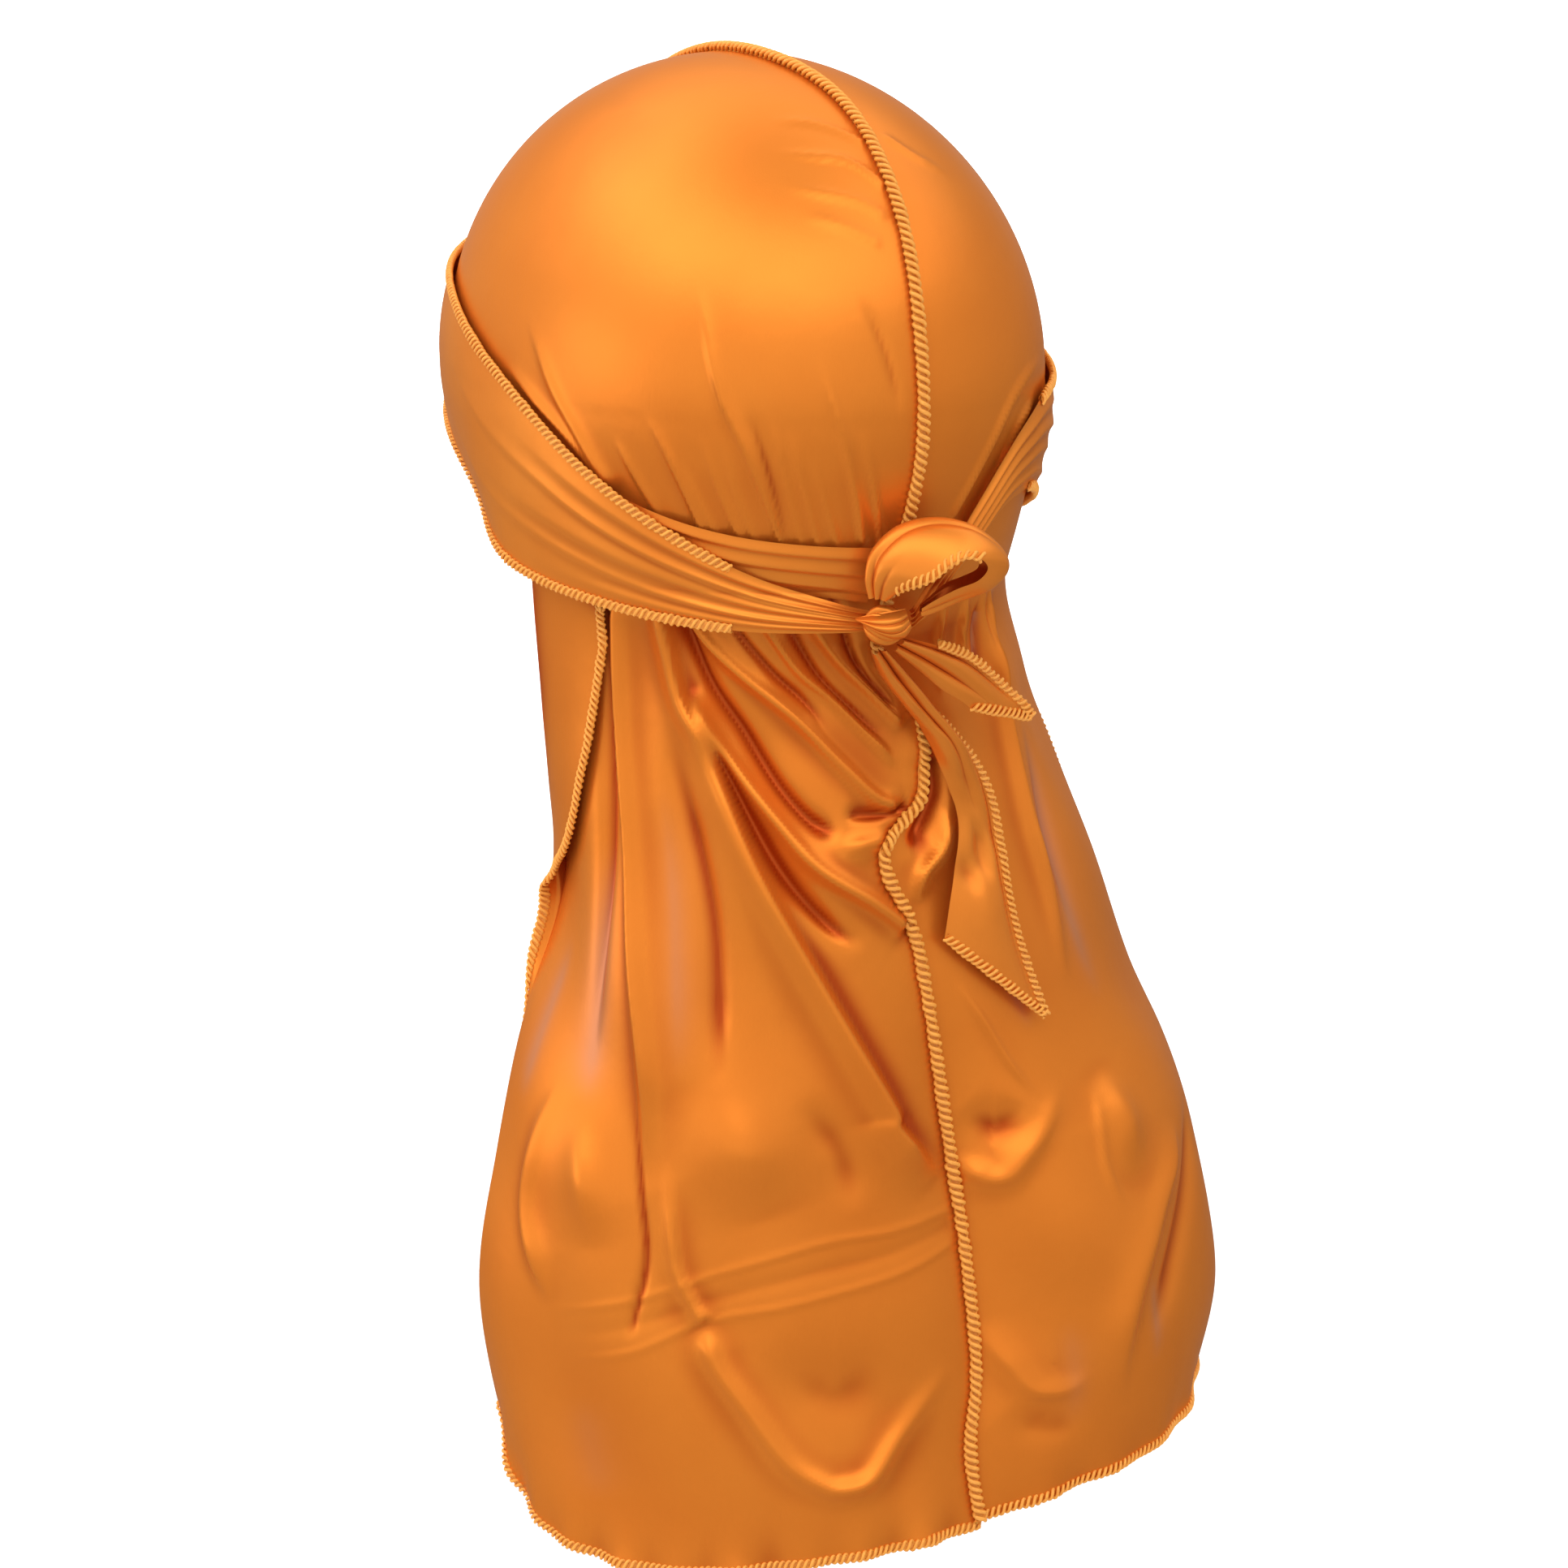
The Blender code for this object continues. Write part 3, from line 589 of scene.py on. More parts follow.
@dataclass(frozen=True)
class Kit:
    """What a sheet of the durag is made with: its satin, its thread and how its edges are overlocked."""

    slot: Slot
    satin: bpy.types.Material
    thread: bpy.types.Material
    overlock: Overlock

    def sew(self, name: str, stock: Stock, edges: list[tuple[Array, Array]], rests_on: str) -> None:
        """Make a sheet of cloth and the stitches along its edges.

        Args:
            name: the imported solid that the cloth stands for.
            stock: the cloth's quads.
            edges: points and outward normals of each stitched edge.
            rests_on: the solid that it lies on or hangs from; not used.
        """
        cloth = seat(stock.piece(name + "_cloth", self.satin), self.slot, name)
        if edges:
            stitches = Stock()
            for line, outward in edges:
                self.overlock.stitch(stitches, line, outward)
            seat(stitches.piece(name + "_overlock", self.thread), Slot.THREAD)


@dataclass(frozen=True)
class Hollow:
    """The room that the cloth encloses, as a boxy egg that narrows toward the neck."""

    ease: float = 0.0015
    ear: tuple[float, float, float] = (0.0, 0.004, -0.116)
    widest_drop: float = 0.084
    plan_power: float = 2.1
    deepest: float = 0.2
    jaw_drops: tuple[float, float] = (0.105, 0.145)
    jaw_turns: tuple[float, float] = (82.0, 118.0)
    jaw_depth: float = 0.17         # share of its reach that the wall draws in under the ears
    halvings: int = 30
    half_width: Curve = Curve((0.084, 0.091, 0.105, 0.125, 0.145, 0.165, 0.200),
                              (0.0762, 0.0760, 0.0742, 0.0702, 0.0665, 0.0640, 0.0620))
    front: Curve = Curve((0.084, 0.091, 0.105, 0.125, 0.145, 0.165, 0.200),
                         (0.0955, 0.0953, 0.0940, 0.0910, 0.0860, 0.0810, 0.0760))
    back: Curve = Curve((0.084, 0.091, 0.105, 0.125, 0.145, 0.165, 0.200),
                        (0.0980, 0.0977, 0.0950, 0.0895, 0.0820, 0.0750, 0.0700))

    def reach(self, turn: Array, drop: Array) -> Array:
        """Distance from the upright axis to the room's wall at a turn (radians) and a drop."""
        turn, drop = np.broadcast_arrays(np.asarray(turn, float), np.asarray(drop, float))
        low = np.clip(drop, self.widest_drop, self.deepest)
        up = np.clip((self.widest_drop - drop) / self.widest_drop, 0, 1)
        share = np.sqrt(1 - up ** 2)
        wide = self.half_width(low) * share + NEAR_ZERO
        front = self.front(low) * share + NEAR_ZERO
        back = self.back(low) * share + NEAR_ZERO
        lengthwise = np.where(np.cos(turn) > 0, back, front)
        across = (np.abs(np.sin(turn)) / wide) ** self.plan_power
        along = (np.abs(np.cos(turn)) / lengthwise) ** self.plan_power
        jaw = ease_step(drop, *self.jaw_drops) * ease_step(np.abs(np.degrees(turn)), *self.jaw_turns)
        return (across + along) ** (-1 / self.plan_power) * (1 - self.jaw_depth * jaw)

    def from_ear(self, fan: Array, side: Array) -> Array:
        """Point on the eased wall, seen from the ear axis.

        Args:
            fan: degrees about the ear axis, 0 to the front, 90 up and 180 to the back.
            side: degrees off the middle, 90 at the wearer's left ear.

        Returns:
            The points.
        """
        fan, side = np.broadcast_arrays(np.radians(fan), np.radians(side))
        way = np.stack([np.sin(side), -np.cos(side) * np.cos(fan), np.cos(side) * np.sin(fan)], -1)
        near = np.zeros(fan.shape)
        far = np.full(fan.shape, self.deepest)
        for _ in range(self.halvings):
            half = (near + far) / 2
            spot = self.ear + way * half[..., None]
            drop = np.clip(-spot[..., 2], HAIR, self.deepest)
            reach = self.reach(np.arctan2(spot[..., 0], spot[..., 1]), drop)
            inside = (np.hypot(spot[..., 0], spot[..., 1]) < reach) & (spot[..., 2] < 0)
            near = np.where(inside, half, near)
            far = np.where(inside, far, half)
        return self.ear + way * (near + self.ease)[..., None]


@dataclass(frozen=True)
class SeamLine:
    """Where the middle seam runs: its shift over the crown, and its path down the tail."""

    shift: Curve = Curve((15, 60, 90, 110, 130, 150, 170, 190, 205),
                         (0.0, 0.0, -1.0, -3.3, -2.4, -0.5, 0.0, 2.0, 2.5))
    drop: tuple[float, ...] = (0.172, 0.185, 0.195, 0.1995, 0.2035, 0.210, 0.2185, 0.230, 0.243, 0.285,
                               0.327, 0.360, 0.373, 0.402)
    x: tuple[float, ...] = (-0.0085, -0.0085, -0.0060, -0.0005, 0.0050, 0.0058, 0.0028, -0.0022, -0.0044,
                            -0.0096, -0.0137, -0.0143, -0.0122, -0.0144)
    y: tuple[float, ...] = (0.0844, 0.0868, 0.0884, 0.0892, 0.0898, 0.0907, 0.0920, 0.0932, 0.0946, 0.0996,
                            0.1044, 0.1079, 0.1095, 0.1125)


@dataclass(frozen=True)
class TailShape:
    """How one half of the tail hangs: the reach and turn of its middle and edge down to its hem."""

    drop: tuple[float, ...]
    mid_turn: tuple[float, ...]
    mid_reach: tuple[float, ...]
    edge_turn: tuple[float, ...]
    edge_reach: tuple[float, ...]
    hem: Curve


@dataclass(frozen=True)
class Margin:
    """The narrow cloth beyond the tail's edge line, and how far it is bent over, in degrees."""

    width: Curve
    bend: Curve
    radius: float = 0.0014
    columns: int = 20
    shown_from: float = 0.1325                          # drop where its stitches leave the wrap
    laid_bends: tuple[float, float] = (100.0, 165.0)    # bends over which it comes to lie on the cloth
    stand_off: float = 2.3                              # in bend radii
    pace_columns: int = 12                              # columns by the edge that give the sheet's pace
    least_bend: float = 0.02                            # radians


HOLLOW = Hollow()
SEAM = SeamLine()
TAIL_AXIS = np.array([0.0, 0.005])
FLAT_REACH = 0.1            # turns are laid flat at this reach from the axis
CROWN_MIDDLE_FAN = 150.0    # fans are laid flat about this one
RIM_SIDE = 80.0
FRONT_FAN = 18.6
NAPE_FAN = 203.0
NAPE_BACK = 8.0             # how far up the crown the tail's columns take their direction from
SHADE_POWER = 1.2           # how slowly the painted shade of a hollow sets in
PANEL_SHADE = (40, 0.9)     # rounds of averaging, and the depth in mm at which a hollow has its full painted shade
TIE_SHADE = (10, 0.25)
LOOP_SHADE = (10, 0.3)
KNOT_SHADE = (6, 0.15)
SEAM_LAP = -0.003           # the panels lap a little under the seam, as a share of their width


@dataclass(frozen=True)
class Panel:
    """One half of the cloth, crown, nape and tail in one piece, from the middle seam to its outer edge."""

    hand: Hand
    shape: TailShape
    margin: Margin
    tail_folds: tuple[Fold, ...]
    crown_folds: tuple[Fold, ...]
    support_folds: tuple[Fold, ...]
    # strokes along which a glow of pale light through a single layer is painted
    glow_strokes: tuple[Fold, ...]
    flat: tuple[float, float] = (0.185, 0.580)
    cut_share: float = 0.75                             # of the flat rectangle
    ripple: Ripple = Ripple(60, 0.80, 11)
    ripple_drops: tuple[float, float] = (0.15, 0.18)
    flutter_lengths: tuple[float, float] = (0.0165, 0.0270)
    flutter_share: float = 0.6                          # height of the longer waves against the shorter
    flutter_mm: float = 0.7
    flutter_reach: float = 0.006
    columns: int = 150
    crown_rows: int = 230
    tail_rows: int = 250
    fold_drops: tuple[float, float] = (0.126, 0.144)    # where the folds rise under the wrap
    seam_hold: float = 0.16                             # share of the width that bends with the seam
    support_part: tuple[float, float] = (0.62, 0.70)    # how far down and across the free ends reach
    support_grid: tuple[int, int] = (50, 24)
    support_drops: tuple[float, float] = (0.139, 0.153)

    def crown_side(self, share: Array | float, fan: Array | float) -> Array:
        """Side angle of the crown's cloth at a share of its width and a fan."""
        return SEAM.shift(fan) * (1 - share) + self.hand.value * RIM_SIDE * share

    def crown_point(self, share: Array | float, fan: Array | float) -> Array:
        """Point of the crown's cloth."""
        return HOLLOW.from_ear(fan, self.crown_side(share, fan))

    def tail_column(self, share: float, falls: Array) -> Array:
        """Points of the tail's cloth down one column.

        Args:
            share: share of the panel's width, 0 at the seam.
            falls: shares of the way from the nape to the hem.

        Returns:
            (len(falls), 3) points.
        """
        shape = self.shape
        drops = np.array(shape.drop)
        seam_x = smooth(drops, SEAM.drop, SEAM.x)
        seam_y = smooth(drops, SEAM.drop, SEAM.y) - TAIL_AXIS[1]
        top = self.crown_point(share, NAPE_FAN)
        above = self.crown_point(share, NAPE_FAN - NAPE_BACK)
        seam_turn = np.arctan2(seam_x, seam_y)
        turn = quad(share, seam_turn, np.radians(shape.mid_turn), np.radians(shape.edge_turn))
        reach = quad(share, np.hypot(seam_x, seam_y), np.array(shape.mid_reach), np.array(shape.edge_reach))
        knots = np.concatenate([[-above[2], -top[2]], drops])
        x = np.concatenate([[above[0], top[0]], reach * np.sin(turn)])
        y = np.concatenate([[above[1], top[1]], TAIL_AXIS[1] + reach * np.cos(turn)])
        if knots[0] >= knots[1] - MM:
            knots, x, y = knots[1:], x[1:], y[1:]
        drop = -top[2] + falls * (shape.hem(share) + top[2])
        wander = smooth(drop, (-top[2],) + SEAM.drop, (0.0,) + SEAM.x)
        steady = smooth(drop, np.concatenate([[-top[2]], drops]), np.concatenate([[0.0], seam_x]))
        hold = math.exp(-(share / self.seam_hold) ** 2)
        across = smooth(drop, knots, x) + (wander - steady) * hold
        return np.stack([across, smooth(drop, knots, y), -drop], -1)

    def tail_flat(self, points: Array) -> Array:
        """Places of the tail's points on the cloth laid flat."""
        turn = np.arctan2(points[..., 0], points[..., 1] - TAIL_AXIS[1])
        return np.stack([turn * FLAT_REACH, -points[..., 2]], -1)

    def crown_flat(self, shares: Array, fans: Array) -> Array:
        """Places of the crown's points on the cloth laid flat."""
        fan, share = np.meshgrid(fans, shares, indexing="ij")
        side = np.radians(self.crown_side(share, fan))
        return np.stack([side, np.radians(fan - CROWN_MIDDLE_FAN) * np.cos(side)], -1) * FLAT_REACH

    def tail_relief(self, points: Array, folds: tuple[Fold, ...], drops: tuple[float, float]) -> Array:
        """Heights of folds over the tail, which rise from one drop to the other under the wrap."""
        flat = self.tail_flat(points)
        total = np.zeros(points.shape[:-1])
        for fold in folds:
            path = np.array(fold.path) * (math.radians(FLAT_REACH), MM)
            total += fold.heights(flat, path)
        return total * ease_step(-points[..., 2], *drops)

    def crown_relief(self, shares: Array, fans: Array) -> Array:
        """Heights of the crown's folds."""
        flat = self.crown_flat(shares, fans)
        total = np.zeros(flat.shape[:-1])
        for fold in self.crown_folds:
            side, fan = np.radians(np.array(fold.path)).T
            middle = math.radians(CROWN_MIDDLE_FAN)
            total += fold.heights(flat, np.stack([side, (fan - middle) * np.cos(side)], -1) * FLAT_REACH)
        return total

    def sheet(self, shares: Array, fans: Array, falls: Array, folds: tuple[Fold, ...], fine: bool) -> Array:
        """Points of the cloth without its margin.

        Args:
            shares: shares of the panel's width.
            fans: fans of the crown's rows.
            falls: falls of the tail's rows.
            folds: the tail's folds.
            fine: True adds the crown's folds and the ripple.

        Returns:
            (rows, columns, 3) points.
        """
        fan, share = np.meshgrid(fans, shares, indexing="ij")
        crown = self.crown_point(share, fan)
        tail = np.stack([self.tail_column(share, falls) for share in shares], 1)
        points = np.concatenate([crown, tail], 0)
        height = np.zeros(points.shape[:-1])
        height[len(fans):] = self.tail_relief(tail, folds, self.fold_drops)
        if fine:
            height[:len(fans)] = self.crown_relief(shares, fans)
            height[:len(fans)] += self.tail_relief(crown, folds, self.fold_drops)
            flat = self.tail_flat(tail)
            height[len(fans):] += self.ripple.heights(flat) * ease_step(-tail[..., 2], *self.ripple_drops)
            height[len(fans):] += self.flutter(flat[..., 0], tail[..., 2] - tail[-1:, :, 2])
        return points + outward_normals(points, self.hand) * height[..., None]

    def flutter(self, around: Array, above: Array) -> Array:
        """Small waves that the stitches pull into the hem, by place round the tail and height above it."""
        short, long = self.flutter_lengths
        wave = np.sin(2 * math.pi * around / short)
        wave = wave + self.flutter_share * np.sin(2 * math.pi * around / long + 1.0)
        return self.flutter_mm * MM * wave * np.exp(-np.clip(above, 0, None) / self.flutter_reach)

    def with_margin(self, sheet: Array, crown_rows: int) -> Array:
        """Add the margin's columns beyond the edge, bent about it."""
        edge = sheet[:, -1]
        across = unit(edge - sheet[:, -2])
        outward = outward_normals(sheet, self.hand)[:, -1]
        outward = unit(outward - across * np.sum(outward * across, axis=-1, keepdims=True))
        width = self.margin.width(-edge[:, 2])
        bend = np.radians(self.margin.bend(-edge[:, 2]))
        width[:crown_rows] = self.margin.width.value[0]
        bend[:crown_rows] = 0.0
        turned = ease_step(bend, *np.radians(self.margin.laid_bends))
        calm = self.sheet(self.shares(), *self.rows(), (), False)
        calm_up = outward_normals(calm, self.hand)
        columns = [sheet]
        for k in range(1, self.margin.columns + 1):
            s = width * k / self.margin.columns
            size = np.abs(bend)
            arc = size * self.margin.radius + NEAR_ZERO
            angle = size * np.minimum(s / arc, 1)
            past = np.maximum(s - arc, 0)
            flat = size < self.margin.least_bend
            go = np.where(flat, s, self.margin.radius * np.sin(angle) + past * np.cos(size))
            rise = np.where(flat, 0.0, self.margin.radius * (1 - np.cos(angle)) + past * np.sin(size))
            rise *= np.sign(bend)
            free = edge + across * go[:, None] + outward * rise[:, None]
            laid = self.laid_back(calm, calm_up, past)
            columns.append((free + (laid - free) * turned[:, None])[:, None])
        return np.concatenate(columns, 1)

    def laid_back(self, calm: Array, calm_up: Array, past: Array) -> Array:
        """Points on the outside of the cloth, a little way back from its edge.

        Args:
            calm: the sheet without its folds.
            calm_up: its outward normals.
            past: how far back from the edge, for each row.

        Returns:
            One point for each row.
        """
        last = calm.shape[1] - 1
        pace = self.margin.pace_columns
        step = np.linalg.norm(calm[:, -1] - calm[:, -1 - pace], axis=-1) / pace
        place = np.clip(last - past / step, 0, last - HAIR)
        low = place.astype(int)
        share = (place - low)[:, None]
        row = np.arange(len(calm))
        spot = calm[row, low] * (1 - share) + calm[row, low + 1] * share
        return spot + calm_up[row, low] * (self.margin.stand_off * self.margin.radius)

    def rows(self) -> tuple[Array, Array]:
        """Fans and falls of the fine rows."""
        fans = np.linspace(FRONT_FAN, NAPE_FAN, self.crown_rows)
        return fans, np.linspace(0, 1, self.tail_rows + 1)[1:]

    def shares(self) -> Array:
        """Shares of the fine columns."""
        return np.linspace(SEAM_LAP, 1.0, self.columns)

    def support(self) -> Array:
        """The plainly folded tail that the free ends hang over."""
        falls = np.linspace(0, self.support_part[0], self.support_grid[0])
        shares = np.linspace(SEAM_LAP, self.support_part[1], self.support_grid[1])
        tail = np.stack([self.tail_column(share, falls) for share in shares], 1)
        height = self.tail_relief(tail, self.support_folds, self.support_drops)
        return tail + outward_normals(tail, self.hand) * height[..., None]

    def build(self, kit: Kit) -> None:
        """Make the panel, stitched along its free edges."""
        fans, falls = self.rows()
        points = self.sheet(self.shares(), fans, falls, self.tail_folds, True)
        points = self.with_margin(points, len(fans))
        normals = outward_normals(points, self.hand)
        # the painted glow of pale light through a single layer, along its strokes
        thin = np.zeros(points.shape[:-1])
        strokes = self.tail_relief(points[len(fans):], self.glow_strokes, self.fold_drops)
        thin[len(fans):] = np.clip(strokes, 0, 1)
        stock = Stock()
        # paint shade into the colour deep in the folds
        stock.add_grid(points, hollow=crease_shade(points, normals, *PANEL_SHADE), thin=thin)
        first = int(np.argmax(-points[:, -1, 2] > self.margin.shown_from))
        edges = [(points[first:, -1], normals[first:, -1] * -self.hand.value), (points[-1], normals[-1])]
        kit.sew(self.hand.panel, stock, edges, "centre_seam")


def crease_shade(points: Array, normals: Array, passes: int, depth_mm: float) -> Array:
    """How deep in a hollow each point of a sheet lies, from 0 to 1 at the given depth, as the mask of
    painted shade.
    """
    calm = np.stack([blur(points[..., k], passes) for k in range(3)], -1)
    relief = np.sum((points - calm) * normals, -1)
    return np.clip(-relief / (depth_mm * MM), 0, 1) ** SHADE_POWER


@dataclass(frozen=True)
class Gather:
    """Small folds side by side along a strip, deepest where it is pulled together."""

    folds: float
    phase: float
    height_mm: float
    start: float
    stop: float
    roundness: float = 0.7
    mean: float = 0.6

    def heights(self, along: Array, across: Array) -> Array:
        """Height of the folds in metres, by shares of the strip's length and width."""
        wave = np.abs(np.sin(math.pi * (self.folds * across + self.phase))) ** self.roundness
        return self.height_mm * MM * (wave - self.mean) * (1 - ease_step(along, self.start, self.stop))


@dataclass(frozen=True)
class CentreSeam:
    """The raised overlocked seam between the panels, from the forehead down to the hem."""

    front_fan: float = 35.0
    width: float = 0.0034
    lift: float = 0.0013
    edge_sink: float = 0.0003
    bed_sink: float = 0.0004
    columns: int = 3                # of each panel's cloth beside the seam
    overlock: Overlock = SEAM_STITCH

    def build(self, panels: tuple[Panel, Panel], thread: bpy.types.Material) -> None:
        """Make the seam's stitches and the narrow cloth under them."""
        fans, falls = panels[0].rows()
        fans = fans[fans > self.front_fan]
        edges = []
        for panel in panels:
            sheet = panel.sheet(panel.shares()[:self.columns], fans, falls, panel.tail_folds, True)
            across = unit(sheet[:, 1] - sheet[:, 0])
            edges.append((sheet[:, 0] + across * self.width / 2, outward_normals(sheet, panel.hand)[:, 0]))
        up = unit(edges[0][1] + edges[1][1])
        middle = (edges[0][0] + edges[1][0]) / 2 + up * self.lift
        left, right = (edge[0] - up * self.edge_sink for edge in edges)
        bed = np.stack([right, middle - up * self.bed_sink, left], 1)
        stock = Stock()
        stock.add_grid(bed)
        self.overlock.stitch(stock, middle, up)
        seat(stock.piece("centre_seam_overlock", thread), Slot.THREAD, "centre_seam")


@dataclass(frozen=True)
class Pleat:
    """One pleat along a tie: where it lies across the tie near the knot and where it fades out."""

    near: float
    far: float
    fade_turn: float
    height_mm: float
    width: float
    skew: float = 0.5
    crispness: float = 1.6
    fade_from: float = 0.45     # share of the fade turn at which it starts to fade

    def heights(self, turn: Array, up: Array) -> Array:
        """Height of the pleat in metres, with its steeper side below where skew is under 0.5."""
        share = np.clip(turn / self.fade_turn, 0, 1)
        middle = self.near + (self.far - self.near) * share
        side = np.where(up < middle, 2 * self.skew, 2 * (1 - self.skew))
        ridge = np.exp(-(np.abs(up - middle) / (self.width * side)) ** self.crispness)
        faded = ease_step(turn, self.fade_from * self.fade_turn, self.fade_turn)
        return self.height_mm * MM * ridge * (1 - faded)


@dataclass(frozen=True)
class Wrap:
    """The tie where it runs round from the knot: its two edges and how far they stand off."""

    name: str
    hand: Hand
    turn: tuple[float, ...]
    upper: tuple[float, ...]
    lower: tuple[float, ...]
    upper_lift: tuple[float, ...]
    lower_lift: tuple[float, ...]
    span: tuple[float, float]
    pleats: tuple[Pleat, ...]
    flat: tuple[float, float]
    edges: tuple[str, ...] = ("upper", "lower")
    stitched_from: float = 30.0
    rows: int = 300
    columns: int = 60
    bow: float = 0.0006
    nape_turn: float = 70.0         # nearer the knot the tie hangs straight down from the nape drop
    nape_blend: float = 50.0
    nape_drop: float = 0.132
    stitch_lift: float = 0.0003

    def surface(self, turns: Array, ups: Array) -> Array:
        """Points of the tie.

        Args:
            turns: turns in degrees along the tie.
            ups: shares of its width, 0 at the lower edge.

        Returns:
            (len(turns), len(ups), 3) points.
        """
        turn, up = np.meshgrid(turns, ups, indexing="ij")
        upper = smooth(turn, self.turn, self.upper)
        lower = smooth(turn, self.turn, self.lower)
        lift = smooth(turn, self.turn, self.lower_lift) * (1 - up)
        lift = lift + smooth(turn, self.turn, self.upper_lift) * up
        drop = lower + (upper - lower) * up
        back = ease_step(self.nape_turn - turn, 0, self.nape_blend)
        held = drop + (np.minimum(drop, self.nape_drop) - drop) * back
        lift = lift + self.bow * np.sin(math.pi * up)
        for pleat in self.pleats:
            lift = lift + pleat.heights(turn, up)
        angle = np.radians(turn) * self.hand.value
        reach = HOLLOW.reach(angle, held) + lift
        return np.stack([reach * np.sin(angle), reach * np.cos(angle), -drop], -1)

    def build(self, kit: Kit) -> None:
        """Make the tie's cloth and its stitched edges."""
        turns = np.linspace(*self.span, self.rows)
        points = self.surface(turns, np.linspace(0, 1, self.columns))
        normals = outward_normals(points, self.hand)
        stock = Stock()
        # paint a darker, redder shade into the colour deep in the tie's pleats
        stock.add_grid(points, hollow=crease_shade(points, normals, *TIE_SHADE))
        free = turns > self.stitched_from
        edges = []
        for edge in self.edges:
            column = -1 if edge == "upper" else 0
            line = points[free, column] + normals[free, column] * self.stitch_lift
            inward = self.hand.value * (1 if edge == "upper" else -1)
            edges.append((line, normals[free, column] * inward))
        kit.sew(self.name, stock, edges, self.hand.panel)


@dataclass(frozen=True)
class KnotPlace:
    """Where the knot sits, and its own right, up and toward directions."""

    middle: tuple[float, float, float] = (0.0105, 0.0993, -0.1400)
    turn: float = math.radians(29.0)

    def axes(self) -> Array:
        """Rows: right, up and toward the viewer behind the wearer's left shoulder."""
        right = (-math.cos(self.turn), math.sin(self.turn), 0.0)
        toward = (math.sin(self.turn), math.cos(self.turn), 0.0)
        return np.array([right, (0.0, 0.0, 1.0), toward])

    def place(self, local: Array) -> Array:
        """Points given as right, up and toward, in the frame."""
        return np.array(self.middle) + local @ self.axes()


PLACE = KnotPlace()


@dataclass(frozen=True)
class Knot:
    """The small tied knot: a pleated core, the turn of cloth that crosses it, and a pointed tuck."""

    half: tuple[float, float, float] = (0.0058, 0.0056, 0.0046)
    furrow: float = 0.16
    furrows: int = 7
    twist: float = 1.8
    pole: float = 0.02                      # radians left open at either end of the core
    core_grid: tuple[int, int] = (60, 96)
    leaf_grid: tuple[int, int] = (90, 48)
    crease: Gather = Gather(3.0, 0.15, 0.9, 0.9, 1.6)
    creased_width: float = 0.002            # half-width from which the creases have their full height
    arch: float = 0.55                      # how far the cloth that crosses falls away at its sides
    lean: float = 0.35
    crossing: tuple[tuple[float, ...], ...] = (     # right, up, toward and half-width from the tuck's tip
        (-0.0078, 0.0020, 0.0026, 0.0002),
        (-0.0052, 0.0014, 0.0044, 0.0015),
        (-0.0020, 0.0006, 0.0058, 0.0030),
        (0.0014, 0.0004, 0.0062, 0.0038),
        (0.0044, 0.0010, 0.0052, 0.0036),
        (0.0064, 0.0022, 0.0030, 0.0026),
    )

    def core(self) -> Array:
        """Squashed core whose crisp furrows twist round it."""
        rows, columns = self.core_grid
        polar = np.linspace(self.pole, math.pi - self.pole, rows)
        around = np.linspace(0, 2 * math.pi, columns, endpoint=False)
        polar, around = np.meshgrid(polar, around, indexing="ij")
        crest = np.abs(np.sin(self.furrows / 2 * around + self.twist * np.cos(polar)))
        size = 1 - self.furrow * (1 - crest) ** 2 * 2
        right = np.cos(polar) * self.half[0]
        up = np.sin(polar) * np.sin(around) * self.half[1] * size
        toward = np.sin(polar) * np.cos(around) * self.half[2] * size
        return PLACE.place(np.stack([right, up, toward], -1))

    def leaf(self) -> Array:
        """The turn of cloth that crosses the knot and ends in a pointed tuck on its left."""
        rows, columns = self.leaf_grid
        along = np.linspace(0, 1, rows)
        line = smooth(along, np.linspace(0, 1, len(self.crossing)), np.array(self.crossing))
        right, up, toward, half = (line[:, k:k + 1] for k in range(4))
        across = np.linspace(-1, 1, columns)
        wide = half * across
        crease = self.crease.heights(along[:, None], (across[None, :] + 1) / 2)
        bulge = toward * (1 - self.arch * across ** 2) + crease * np.minimum(1, half / self.creased_width)
        return PLACE.place(np.stack([right - self.lean * wide, up + wide, bulge], -1))

    def build(self, kit: Kit) -> None:
        """Make the knot."""
        stock = Stock()
        stock.add_grid(self.core(), ring=True)
        leaf = self.leaf()
        normals = outward_normals(leaf, Hand.LEFT)
        normals *= np.sign(np.sum(normals * PLACE.axes()[2], -1, keepdims=True))
        # paint shade into the colour deep in the creases of the crossing cloth
        stock.add_grid(leaf, hollow=crease_shade(leaf, normals, *KNOT_SHADE))
        seat(stock.piece("knot_cloth", kit.satin), kit.slot, "knot")


